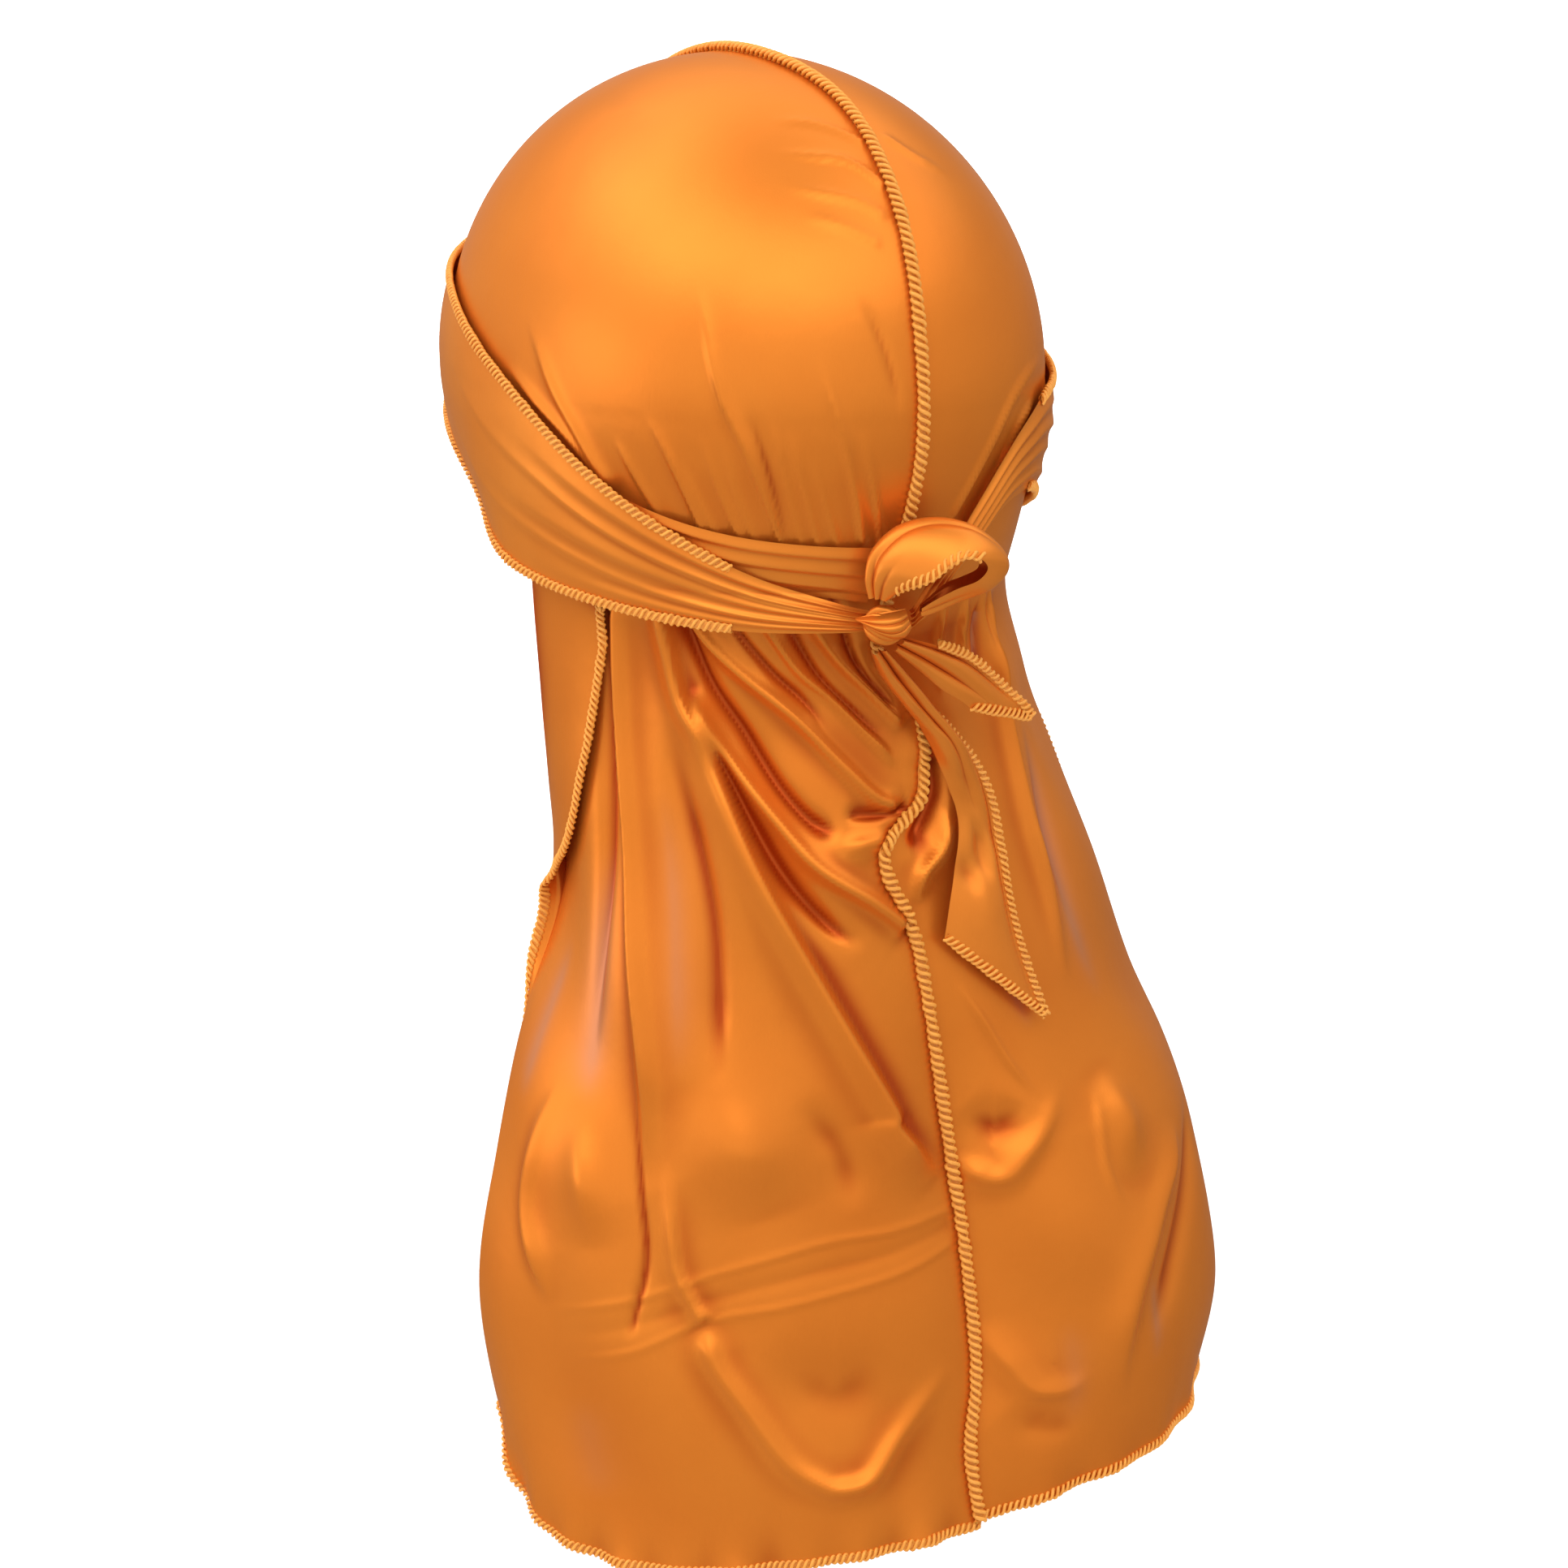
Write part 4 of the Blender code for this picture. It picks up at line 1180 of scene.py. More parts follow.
@dataclass(frozen=True)
class BowLoop:
    """The loop of tie that stands up from the knot.

    Each row holds its near edge, its crest and its far edge, as right, up and toward from the knot.
    """

    rows: tuple[tuple[float, ...], ...]
    flat: tuple[float, float]
    gathers: tuple[Gather, ...]
    lengthwise: int = 200
    columns: int = 64
    stitched: tuple[int, int] = (12, 110)                   # rows of the near edge that show
    inside: float = 0.85                                    # painted shade of the cloth on the inside of the loop
    inside_shares: tuple[float, float] = (0.55, 0.85)

    def build(self, kit: Kit) -> None:
        """Make the loop, stitched along its near edge."""
        table = np.array(self.rows)
        s = np.linspace(0, 1, self.lengthwise)
        line = smooth(s, np.linspace(0, 1, len(table)), table).reshape(-1, 3, 3)
        lines = PLACE.place(line)
        across = np.linspace(0, 1, self.columns)
        points = np.stack([quad(v, lines[:, 0], lines[:, 1], lines[:, 2]) for v in across], 1)
        normals = outward_normals(points, Hand.RIGHT)
        height = sum(gather.heights(s[:, None], across[None, :]) for gather in self.gathers)
        height = height + self.gathers[0].heights(1 - s[:, None], across[None, :])
        points = points + normals * (height * np.sin(math.pi * across) ** 0.5)[..., None]
        stock = Stock()
        # paint shade on the far part of the loop, which faces its inside, as well as deep in its folds
        inside = self.inside * ease_step(across, *self.inside_shares)[None, :]
        stock.add_grid(points, hollow=np.maximum(crease_shade(points, normals, *LOOP_SHADE), inside))
        shown = slice(*self.stitched)
        edges = [(points[shown, 0], normals[shown, 0])]
        kit.sew("bow_loop", stock, edges, "knot")


@dataclass(frozen=True)
class FreeEnd:
    """A free end of the tie that hangs over the tail.

    Each row holds turn and drop of its left and of its right edge, its clearance and its bulge.
    """

    name: str
    rows: tuple[tuple[float, ...], ...]
    flat: tuple[float, float]
    gathers: tuple[Gather, ...]
    lengthwise: int = 150
    columns: int = 60
    coarse_columns: int = 5
    stitched_from: float = 0.25

    def coarse(self, sheets: tuple[Array, Array]) -> Array:
        """The end's shape on a coarse grid, hung off the tail."""
        table = np.array(self.rows)
        steps = np.linspace(0, 1, 2 * len(table))
        out = np.empty((len(steps), self.coarse_columns, 3))
        for i, s in enumerate(steps):
            value = smooth(float(s), np.linspace(0, 1, len(table)), table)
            for j, share in enumerate(np.linspace(0, 1, self.coarse_columns)):
                turn = value[0] * (1 - share) + value[2] * share
                drop = value[1] * (1 - share) + value[3] * share
                reach = tail_reach(sheets, turn, drop) + value[4] + value[5] * math.sin(math.pi * share)
                angle = math.radians(turn)
                out[i, j] = (reach * math.sin(angle), TAIL_AXIS[1] + reach * math.cos(angle), -drop)
        return out

    def build(self, kit: Kit, sheets: tuple[Array, Array]) -> None:
        """Make the free end with its stitched edges."""
        points = respace(self.coarse(sheets), self.lengthwise, self.columns)
        normals = outward_normals(points, Hand.RIGHT)
        s = np.linspace(0, 1, self.lengthwise)[:, None]
        v = np.linspace(0, 1, self.columns)[None, :]
        height = sum(gather.heights(s, v) for gather in self.gathers)
        points = points + normals * height[..., None]
        stock = Stock()
        # paint shade into the colour deep in the folds
        stock.add_grid(points, hollow=crease_shade(points, normals, *TIE_SHADE))
        first = int(self.stitched_from * self.lengthwise)
        edges = [(points[-1], normals[-1]), (points[first:, -1], normals[first:, -1])]
        kit.sew(self.name, stock, edges, "knot")


def tail_reach(sheets: tuple[Array, Array], turn: float, drop: float) -> float:
    """Reach of the tail's cloth from its axis.

    Args:
        sheets: the left and the right tail.
        turn: degrees about the axis.
        drop: distance below the origin.

    Returns:
        The reach in metres.
    """
    turns = []
    reaches = []
    for sheet in sheets:
        for j in range(sheet.shape[1]):
            column = sheet[:, j]
            x = np.interp(drop, -column[:, 2], column[:, 0])
            y = np.interp(drop, -column[:, 2], column[:, 1]) - TAIL_AXIS[1]
            turns.append(math.degrees(math.atan2(x, y)))
            reaches.append(math.hypot(x, y))
    order = np.argsort(turns)
    return float(np.interp(turn, np.array(turns)[order], np.array(reaches)[order]))


def bearing(azimuth: float, elevation: float) -> Vector:
    """Direction at an azimuth and an elevation in degrees, 0 at the wearer's face."""
    a = math.radians(azimuth)
    e = math.radians(elevation)
    return Vector((math.sin(a) * math.cos(e), -math.cos(a) * math.cos(e), math.sin(e)))


@dataclass(frozen=True)
class Lamp:
    """A soft studio lamp: where it stands, what it faces, its size and its power."""

    name: str
    azimuth: float
    elevation: float
    distance: float
    width: float
    height: float
    power: float
    colour: str = "#FFFFFF"
    spread: float = 180.0
    aim: tuple[float, float, float] = (0.0, 0.0, -0.15)
    mirrored: bool = True

    def light(self) -> None:
        """Put up the lamp."""
        data = bpy.data.lights.new(self.name, "AREA")
        data.shape = "RECTANGLE"
        data.size = self.width
        data.size_y = self.height
        data.energy = self.power
        data.color = linear(self.colour)[:3]
        data.spread = math.radians(self.spread)
        lamp = bpy.data.objects.new(self.name, data)
        way = bearing(self.azimuth, self.elevation)
        lamp.location = Vector(self.aim) + way * self.distance
        lamp.rotation_euler = way.to_track_quat("Z", "Y").to_euler()
        lamp.visible_camera = False
        lamp.visible_glossy = self.mirrored
        bpy.context.scene.collection.objects.link(lamp)


@dataclass(frozen=True)
class Studio:
    """Pale floor, soft lamps, a lit room and the camera at the photo's angle.

    The room's strengths are for below, the horizon, a bright band and overhead.  Its heights are sines of
    elevation, between which one strength turns into the next.
    """

    azimuth: float = 151.0
    elevation: float = 15.0
    distance: float = 1.5
    lens: float = 119.5
    shift_right: float = 0.0120
    target_drop: float = 0.2087
    floor_drop: float = 0.56
    floor_side: float = 60.0
    floor_cells: int = 24
    below: float = 0.42
    horizon: float = 0.74
    band: float = 1.98
    overhead: float = 0.80
    horizon_heights: tuple[float, float] = (-0.22, 0.04)
    band_heights: tuple[float, float] = (0.40, 0.68)
    overhead_heights: tuple[float, float] = (0.84, 0.99)
    brighter_side: float = 0.42
    brighter_azimuth: float = 122.0
    lamps: tuple[Lamp, ...] = (
        Lamp("key", 62, 36, 2.2, 2.6, 1.4, 5.5),
        Lamp("side", 72, 2, 2.2, 1.2, 0.9, 4),
        Lamp("wash", 0, 89.9, 3.0, 5.0, 5.0, 200, spread=110.0, aim=(-2.1, -3.7, -0.56), mirrored=False),
    )

    def build(self) -> None:
        """Put up the studio."""
        right = bearing(self.azimuth + 90, 0.0)
        toward = bearing(self.azimuth, self.elevation)
        target = right * self.shift_right + Vector((0, 0, -self.target_drop))
        data = bpy.data.cameras.new("camera")
        data.lens = self.lens
        data.sensor_width = 36.0
        camera = bpy.data.objects.new("camera", data)
        up = toward.cross(right)
        turn = Matrix((right, up, toward)).transposed().to_4x4()
        camera.matrix_world = Matrix.Translation(target + toward * self.distance) @ turn
        bpy.context.scene.collection.objects.link(camera)
        bpy.context.scene.camera = camera
        for lamp in self.lamps:
            lamp.light()
        self.floor()
        self.walls()
        bpy.context.scene.view_settings.view_transform = "Standard"

    def walls(self) -> None:
        """Light the room by one soft band of light round about, weaker overhead and weakest from below."""
        world = bpy.data.worlds.new("studio")
        world.use_nodes = True
        tree = world.node_tree
        way = add_node(tree, "ShaderNodeTexCoord").outputs["Generated"]
        height = add_node(tree, "ShaderNodeSeparateXYZ", Vector=way).outputs["Z"]
        steps = ((self.horizon_heights, self.below, self.horizon),
                 (self.band_heights, 1.0, self.band / self.horizon),
                 (self.overhead_heights, 1.0, self.overhead / self.band))
        parts = [add_node(tree, "ShaderNodeMapRange", {"interpolation_type": "SMOOTHSTEP"}, Value=height,
                          From_Min=low, From_Max=high, To_Min=start, To_Max=stop)
                 for (low, high), start, stop in steps]
        toward = add_node(tree, "ShaderNodeVectorMath", {"operation": "DOT_PRODUCT"}, _0=way,
                          _1=bearing(self.brighter_azimuth, 0.0)).outputs["Value"]
        parts.append(add_node(tree, "ShaderNodeMapRange", Value=toward, From_Min=-1.0, From_Max=1.0,
                              To_Min=1.0 - self.brighter_side, To_Max=1.0 + self.brighter_side))
        strength = parts[0]
        for part in parts[1:]:
            strength = add_node(tree, "ShaderNodeMath", {"operation": "MULTIPLY"}, _0=strength.outputs[0],
                                _1=part.outputs[0])
        light = tree.nodes["Background"]
        light.inputs["Color"].default_value = (1.0, 1.0, 1.0, 1.0)
        tree.links.new(strength.outputs[0], light.inputs["Strength"])
        bpy.context.scene.world = world

    def floor(self) -> None:
        """Lay the floor below the hem."""
        spread = np.linspace(-self.floor_side / 2, self.floor_side / 2, self.floor_cells + 1)
        x, y = np.meshgrid(spread, spread, indexing="ij")
        stock = Stock()
        stock.add_grid(np.stack([x, y, np.full(x.shape, -self.floor_drop)], -1))
        floor = stock.piece("floor", Paper().material())
        floor.visible_glossy = False


# The folds' places were measured in the photo by way of the camera that Studio puts up.
SUPPORT_FOLDS = (
    Fold(((55.5, 141), (53.5, 208), (48.0, 284)), 5.0, 6.2, 8.0),
    Fold(((50.0, 143), (23.5, 218), (-2.0, 298)), 6.0, 6.0, 8.0),
    Fold(((47.0, 180), (15.0, 240), (-3.0, 285)), -3.5, 8.0, 9.0),
    Fold(((40.6, 160), (19.3, 201), (1.5, 224)), 4.0, 6.5, 6.8),
    Fold(((27.5, 147), (15.5, 169), (-1.5, 192)), 3.5, 6.0, 6.6),
    Fold(((14.0, 147), (6.0, 160), (-4.0, 172)), 3.0, 6.2, 6.2),
    Fold(((-9.0, 176), (-15.0, 203), (-9.0, 224)), -5.0, 5.0, 5.5),
    Fold(((-25.0, 150), (-25.0, 162), (-25.5, 182)), 3.0, 6.2, 6.5),
    Fold(((-49.0, 152), (-39.0, 220), (-31.6, 313)), 5.0, 5.5, 7.5),
)

LEFT_TAIL_FOLDS = (
    Fold(((59.5, 133), (59.5, 142), (58, 170), (54.5, 201), (51, 232), (48, 262),
          (47, 279), (46.5, 296)), 4.4, 2.2, 6.5, fall=0.3, rise=0.25),
    Fold(((63, 133), (62.5, 149), (61, 181), (59.5, 213), (59, 244),
          (59, 270)), -3.4, 5.0, 2.6, rise=0.02),
    Fold(((46.5, 170), (40, 198), (36, 223), (34.5, 249),
          (34, 270)), -3.6, 6.5, 5.0, rise=0.3, fall=0.3),
    Fold(((47.5, 133), (45.5, 149), (42.5, 164), (36, 180), (28, 207), (20, 231),
          (12, 255), (5, 277), (4.5, 282), (-4, 299)), 6.0, 7.5, 2.2, fall=0.08, rise=0.02),
    Fold(((38.5, 172), (32.5, 187), (23.5, 209), (15, 224),
          (8, 232)), -4.0, 2.6, 3.6, rise=0.2, fall=0.3),
    Fold(((41.5, 161), (34, 178), (24.5, 195), (17, 208), (7, 219),
          (0, 228)), 4.6, 2.8, 3.2, rise=0.1, fall=0.05),
    Fold(((45.5, 133), (38.5, 157), (30, 173), (22.5, 188), (16.5, 197),
          (11.5, 200)), -3.6, 2.6, 3.0, fall=0.2, rise=0.02),
    Fold(((44, 133), (39, 145), (31, 156), (19.5, 169), (11, 182), (4, 192),
          (-1.5, 195)), 3.4, 2.2, 3.0, fall=0.1, rise=0.02),
    Fold(((36, 133), (32, 144), (24.5, 156), (18, 164),
          (12.5, 173)), -2.4, 1.4, 1.6, rise=0.02),
    Fold(((29.5, 133), (20, 154), (12, 164), (4.5, 175),
          (-1, 184)), 2.4, 1.4, 1.8, fall=0.2, rise=0.02),
    Fold(((25.5, 133), (15.5, 156), (7.5, 168), (0, 179)), -2.4, 1.4, 1.6, rise=0.02),
    Fold(((20.5, 133), (11.5, 152), (4, 163), (-3, 173)), 3.6, 1.8, 3.0, fall=0.1, rise=0.02),
    Fold(((13.5, 133), (7, 154), (1, 165), (-3.5, 173)), -2.6, 1.4, 1.6, rise=0.02),
    Fold(((11.5, 195), (5, 196), (-2.5, 196)), -2.4, 1.2, 2.6, rise=0.3, fall=0.05),
    Fold(((13.5, 204), (6.5, 203), (1.5, 202)), 2.2, 3.6, 2.6, rise=0.4),
    Fold(((66, 273), (70, 290), (71.5, 310), (68, 326),
          (63.5, 336)), 2.8, 2.2, 7.0, rise=0.4, fall=0.35),
    Fold(((61, 278), (57.5, 299), (55.5, 318)), 3.6, 8.0, 8.0, rise=0.5, fall=0.5),
    Fold(((50, 265), (47.5, 297), (46, 318), (47.5, 334), (48.5, 342)), -1.8, 1.2, 1.2),
    Fold(((42.5, 289), (41, 315), (39.5, 324), (36, 334)), 2.6, 3.2, 1.4, fall=0.02),
    Fold(((36, 334), (34.5, 345), (29.5, 358), (23.5, 373), (18.5, 380),
          (15, 382), (10.5, 380), (6, 370), (0.5, 359), (-4, 349)), 3.2, 3.8, 3.6, rise=0.1, fall=0.3),
    Fold(((26.5, 340), (15.5, 356), (7, 343)), -1.8, 10.0, 10.0, rise=0.4, fall=0.4),
    Fold(((37.5, 266), (30, 286), (26, 306)), 4.6, 15.0, 13.0, rise=0.5, fall=0.5),
    Fold(((21, 271), (14, 287), (11.5, 305)), -1.4, 6.0, 5.0, rise=0.4, fall=0.4),
    Fold(((67.5, 340), (49, 331), (34.5, 321), (18, 313), (5, 311),
          (-6.5, 308)), 0.38, 0.6, 1.2, rise=0.2, fall=0.02),
    Fold(((63, 352), (48.5, 345), (36, 334), (22.5, 329), (5.5, 323),
          (-6, 317)), 0.38, 1.2, 0.6, rise=0.2, fall=0.02),
    Fold(((65, 346), (49, 338), (35.5, 328), (20, 321), (5.5, 317),
          (-6, 312)), -0.36, 2.8, 2.8, rise=0.2, fall=0.02),
)

RIGHT_TAIL_FOLDS = (
    Fold(((-9, 180), (-9.5, 191), (-6, 201), (-1, 206)), -5.0, 4.0, 4.0, rise=0.1),
    Fold(((-11.5, 196), (-9, 207), (-4, 214), (-3, 222)), 3.6, 2.0, 3.0),
    Fold(((-26, 133), (-27, 145), (-30.5, 171), (-30.5, 202), (-32, 229),
          (-31.5, 256)), 4.6, 4.0, 3.6, rise=0.45),
    Fold(((-41, 179), (-38, 210), (-36.5, 242)), -2.6, 4.0, 5.0, rise=0.5, fall=0.5),
    Fold(((-8.5, 243), (-13, 256), (-17, 270), (-20.5, 280)), 1.2, 0.9, 1.4, rise=0.4, fall=0.4),
    Fold(((-7.5, 292), (-10, 299), (-13.5, 300), (-17, 294), (-22, 284),
          (-25.5, 275)), 2.4, 3.0, 5.0, rise=0.2, fall=0.4),
    Fold(((-9, 278), (-13.5, 286), (-17.5, 278)), -2.2, 6.0, 6.0, rise=0.4, fall=0.4),
    Fold(((-30.5, 280), (-28.5, 300), (-30, 314)), 0.8, 1.2, 1.6),
    Fold(((-46, 298), (-42.5, 307), (-36.5, 318), (-31, 334), (-27.5, 352),
          (-27, 371)), 3.0, 7.0, 2.4, rise=0.3, fall=0.3),
    Fold(((-32, 275), (-34, 291), (-32.5, 310)), 4.0, 9.0, 7.0, rise=0.5, fall=0.5),
    Fold(((-56.5, 296), (-48, 311), (-38, 334), (-32, 355)), -2.6, 4.0, 6.0, rise=0.3, fall=0.3),
    Fold(((-9, 340), (-12, 352), (-15, 361), (-19.5, 362), (-23, 356)), 2.0, 2.8, 4.4, rise=0.3, fall=0.5),
    Fold(((-11.5, 365), (-16.5, 372), (-22.5, 370)), -1.2, 7.0, 7.0, rise=0.4, fall=0.4),
    Fold(((-13, 138), (-13, 150), (-13, 168)), 2.2, 1.6, 2.0, rise=0.45),
    Fold(((-20, 138), (-20, 149), (-20.5, 172)), 2.8, 1.8, 1.6, rise=0.45),
    Fold(((-25.5, 138), (-25.5, 155), (-26, 178)), -2.2, 1.4, 1.8, rise=0.45),
    Fold(((-30, 138), (-30.5, 152), (-30.5, 176)), 3.2, 1.8, 2.6, rise=0.45),
)

LEFT_CROWN_FOLDS = (
    Fold(((28.5, 132), (30.5, 150), (28, 164), (19.5, 192)), 1.6, 0.7, 2.4, rise=0.4, fall=0.02),
    Fold(((15.5, 150), (12.5, 165), (8.5, 182)), 1.5, 0.7, 2.0, rise=0.4, fall=0.02),
    Fold(((44, 150), (40, 169), (34.5, 188)), 1.4, 0.7, 2.4, rise=0.4, fall=0.02),
    Fold(((27, 155), (24.5, 170), (21, 187)), -1.0, 0.8, 1.4, rise=0.4, fall=0.05),
    Fold(((21.5, 160), (19, 172), (14.5, 190)), 1.0, 0.6, 1.6, rise=0.4, fall=0.05),
    Fold(((35.5, 158), (33, 172), (27, 190)), 1.0, 0.6, 1.8, rise=0.4, fall=0.05),
    Fold(((10.5, 162), (7.5, 172), (4, 188)), 0.9, 0.6, 1.4, rise=0.4, fall=0.05),
    Fold(((52, 152), (49, 166), (44, 182)), 0.9, 0.7, 2.0, rise=0.4, fall=0.05),
    Fold(((24, 157), (22, 170), (17.5, 190)), 0.8, 0.5, 1.2, rise=0.4, fall=0.05),
    Fold(((32, 160), (30, 174), (24, 190)), 0.8, 0.5, 1.2, rise=0.4, fall=0.05),
    Fold(((39.5, 162), (37, 174), (30.5, 189)), 0.8, 0.5, 1.2, rise=0.4, fall=0.05),
    Fold(((18.5, 164), (15, 176), (11, 189)), 0.8, 0.5, 1.2, rise=0.4, fall=0.05),
    Fold(((8.5, 168), (6, 178), (2.5, 190)), 0.7, 0.5, 1.0, rise=0.4, fall=0.05),
    Fold(((64, 90), (65, 120), (62, 145), (55.5, 170)), 1.6, 1.2, 3.0, rise=0.4, fall=0.1),
    Fold(((54, 100), (59.5, 125), (59, 148), (54.5, 170)), 1.3, 1.2, 3.0, rise=0.4, fall=0.1),
    Fold(((70, 100), (70, 125), (66, 150)), -1.2, 1.6, 2.6, rise=0.4, fall=0.2),
    Fold(((12, 118), (6.5, 121), (2, 123), (-2, 128)), 1.2, 0.9, 1.4, rise=0.5, fall=0.05),
    Fold(((13, 124), (8.5, 127), (3, 130), (0, 133)), 1.0, 0.9, 1.4, rise=0.5, fall=0.05),
    Fold(((12, 130), (7, 133), (2, 137)), 0.8, 0.8, 1.2, rise=0.5, fall=0.05),
    Fold(((9, 112), (3, 115), (-2.5, 120)), 0.8, 0.9, 1.4, rise=0.5, fall=0.05),
    Fold(((7.5, 143), (5, 152), (3, 162)), -0.9, 1.2, 1.2, rise=0.4),
)

RIGHT_CROWN_FOLDS = (
    Fold(((-30, 158), (-22, 166), (-13, 182)), 1.3, 0.8, 2.0, rise=0.3, fall=0.05),
    Fold(((-34, 150), (-20, 160), (-8, 180)), 1.0, 0.8, 2.2, rise=0.4, fall=0.05),
    Fold(((-40, 152), (-32, 162), (-24, 174)), 1.2, 0.8, 2.0, rise=0.3, fall=0.05),
    Fold(((-6, 118), (-10, 122), (-16, 124)), 0.8, 1.0, 1.4, rise=0.1, fall=0.5),
)

# Strokes along which a glow of pale light through a single layer of the tail is painted.
LEFT_GLOW = (
    Fold(((59.5, 205), (59, 235), (59, 262), (60, 280)), 760, 7.5, 5.0, rise=0.4, fall=0.3),
    Fold(((47.5, 185), (44, 215), (42, 245), (41, 270)), 420, 3.0, 5.0, rise=0.4, fall=0.4),
    Fold(((70, 235), (74, 262), (77, 285)), 700, 5.0, 3.0, rise=0.3, fall=0.3),
    Fold(((58, 360), (56, 375), (53, 392)), 160, 7.0, 7.0, rise=0.4, fall=0.3),
)

# The same painted glow on the right half of the tail.
RIGHT_GLOW = (
    Fold(((-41, 175), (-38.5, 205), (-37, 235), (-40, 262)), 760, 3.6, 4.6, rise=0.3, fall=0.3),
    Fold(((-25.5, 138), (-25.5, 155), (-26, 172)), 700, 0.9, 1.0, rise=0.02, fall=0.2),
    Fold(((-20, 340), (-20.5, 356), (-20, 376)), 200, 2.6, 3.0, rise=0.4, fall=0.4),
    Fold(((-33, 334), (-33.5, 346), (-33, 362)), 550, 1.6, 2.0, rise=0.4, fall=0.4),
    Fold(((-16, 232), (-18.5, 246), (-22, 262)), 600, 1.6, 2.6, rise=0.4, fall=0.4),
)

LEFT_PANEL = Panel(
    Hand.LEFT,
    TailShape(
        drop=(0.172, 0.195, 0.216, 0.260, 0.299, 0.337, 0.382, 0.420),
        mid_turn=(42,) * 8,
        mid_reach=(0.0740, 0.0790, 0.0830, 0.0900, 0.0960, 0.1000, 0.1020, 0.1030),
        edge_turn=(84,) * 7 + (82,),
        edge_reach=(0.0672, 0.0650, 0.0635, 0.0752, 0.0879, 0.0932, 0.0893, 0.0860),
        hem=Curve((0.0, 0.2, 0.45, 0.65, 0.82, 0.93, 1.0),
                  (0.3985, 0.4010, 0.4060, 0.4060, 0.4010, 0.3920, 0.3780)),
    ),
    Margin(
        width=Curve((0.118, 0.1255, 0.1275, 0.1290, 0.1320, 0.139, 0.158, 0.176, 0.190, 0.202,
                     0.213, 0.228, 0.260, 0.420),
                    (0.0030, 0.0035, 0.0330, 0.0342, 0.0343, 0.0336, 0.0312, 0.0288, 0.0264, 0.0212,
                     0.0125, 0.0055, 0.0040, 0.0040)),
        bend=Curve((0.118, 0.1215, 0.1250, 0.141, 0.165, 0.190, 0.210, 0.226, 0.260, 0.420),
                   (0, 0, 178, 180, 180, 180, 176, 120, 0, 0)),
    ),
    LEFT_TAIL_FOLDS + RIGHT_TAIL_FOLDS,
    LEFT_CROWN_FOLDS + RIGHT_CROWN_FOLDS,
    SUPPORT_FOLDS,
    LEFT_GLOW,
)

RIGHT_PANEL = Panel(
    Hand.RIGHT,
    TailShape(
        drop=(0.172, 0.197, 0.234, 0.260, 0.283, 0.330, 0.350, 0.384, 0.400),
        mid_turn=(-40, -40, -40, -42, -44, -48, -48, -48, -48),
        mid_reach=(0.0790, 0.0870, 0.0985, 0.1075, 0.1180, 0.1335, 0.1355, 0.1310, 0.1290),
        edge_turn=(-75, -72, -72, -76, -84, -94, -97, -94, -92),
        edge_reach=(0.0770, 0.0867, 0.1000, 0.1090, 0.1150, 0.1150, 0.1110, 0.1070, 0.1070),
        hem=Curve((0.0, 0.2, 0.45, 0.65, 0.82, 0.93, 1.0),
                  (0.3980, 0.3910, 0.3850, 0.3785, 0.3700, 0.3610, 0.3500)),
    ),
    Margin(
        width=Curve((0.118, 0.230, 0.280, 0.420), (0.0040,) * 4),
        bend=Curve((0.118, 0.230, 0.280, 0.420), (0, 0, -30, -30)),
    ),
    LEFT_TAIL_FOLDS + RIGHT_TAIL_FOLDS,
    LEFT_CROWN_FOLDS + RIGHT_CROWN_FOLDS,
    SUPPORT_FOLDS,
    RIGHT_GLOW,
)

LEFT_WRAP = Wrap(
    "left_wrap",
    Hand.LEFT,
    turn=(1.0, 6.5, 16, 27, 40, 57, 72, 82, 92, 103, 116, 130, 150, 165, 180, 194),
    upper=(0.1385, 0.1375, 0.1330, 0.1268, 0.1168, 0.1020, 0.0885, 0.0815, 0.0760, 0.0700, 0.0640,
           0.0600, 0.0565, 0.0550, 0.0545, 0.0550),
    lower=(0.1440, 0.1435, 0.1430, 0.1426, 0.1412, 0.1385, 0.1355, 0.1325, 0.1275, 0.1190, 0.1090,
           0.1030, 0.0960, 0.0920, 0.0905, 0.0900),
    upper_lift=(0.0056, 0.0056, 0.0056, 0.0056, 0.0056, 0.0052, 0.0044, 0.0038, 0.0034, 0.0034, 0.0034,
                0.0034, 0.0036, 0.0054, 0.0058, 0.0058),
    lower_lift=(0.0056, 0.0056, 0.0058, 0.0062, 0.0072, 0.0092, 0.0104, 0.0106, 0.0092, 0.0058, 0.0038,
                0.0034, 0.0036, 0.0054, 0.0058, 0.0058),
    span=(0.6, 194.0),
    pleats=(
        Pleat(0.86, 0.78, 80, 0.9, 0.06, 0.3),
        Pleat(0.66, 0.62, 70, 0.9, 0.05, 0.3),
        Pleat(0.48, 0.42, 95, 0.8, 0.07, 0.3),
        Pleat(0.30, 0.26, 60, 0.9, 0.05, 0.4),
        Pleat(0.14, 0.12, 80, 0.7, 0.05, 0.4),
        Pleat(0.55, 0.70, 120, 0.4, 0.04, 0.3),
        Pleat(0.22, 0.34, 120, 0.4, 0.04, 0.4),
    ),
    flat=(0.042, 0.300),
)

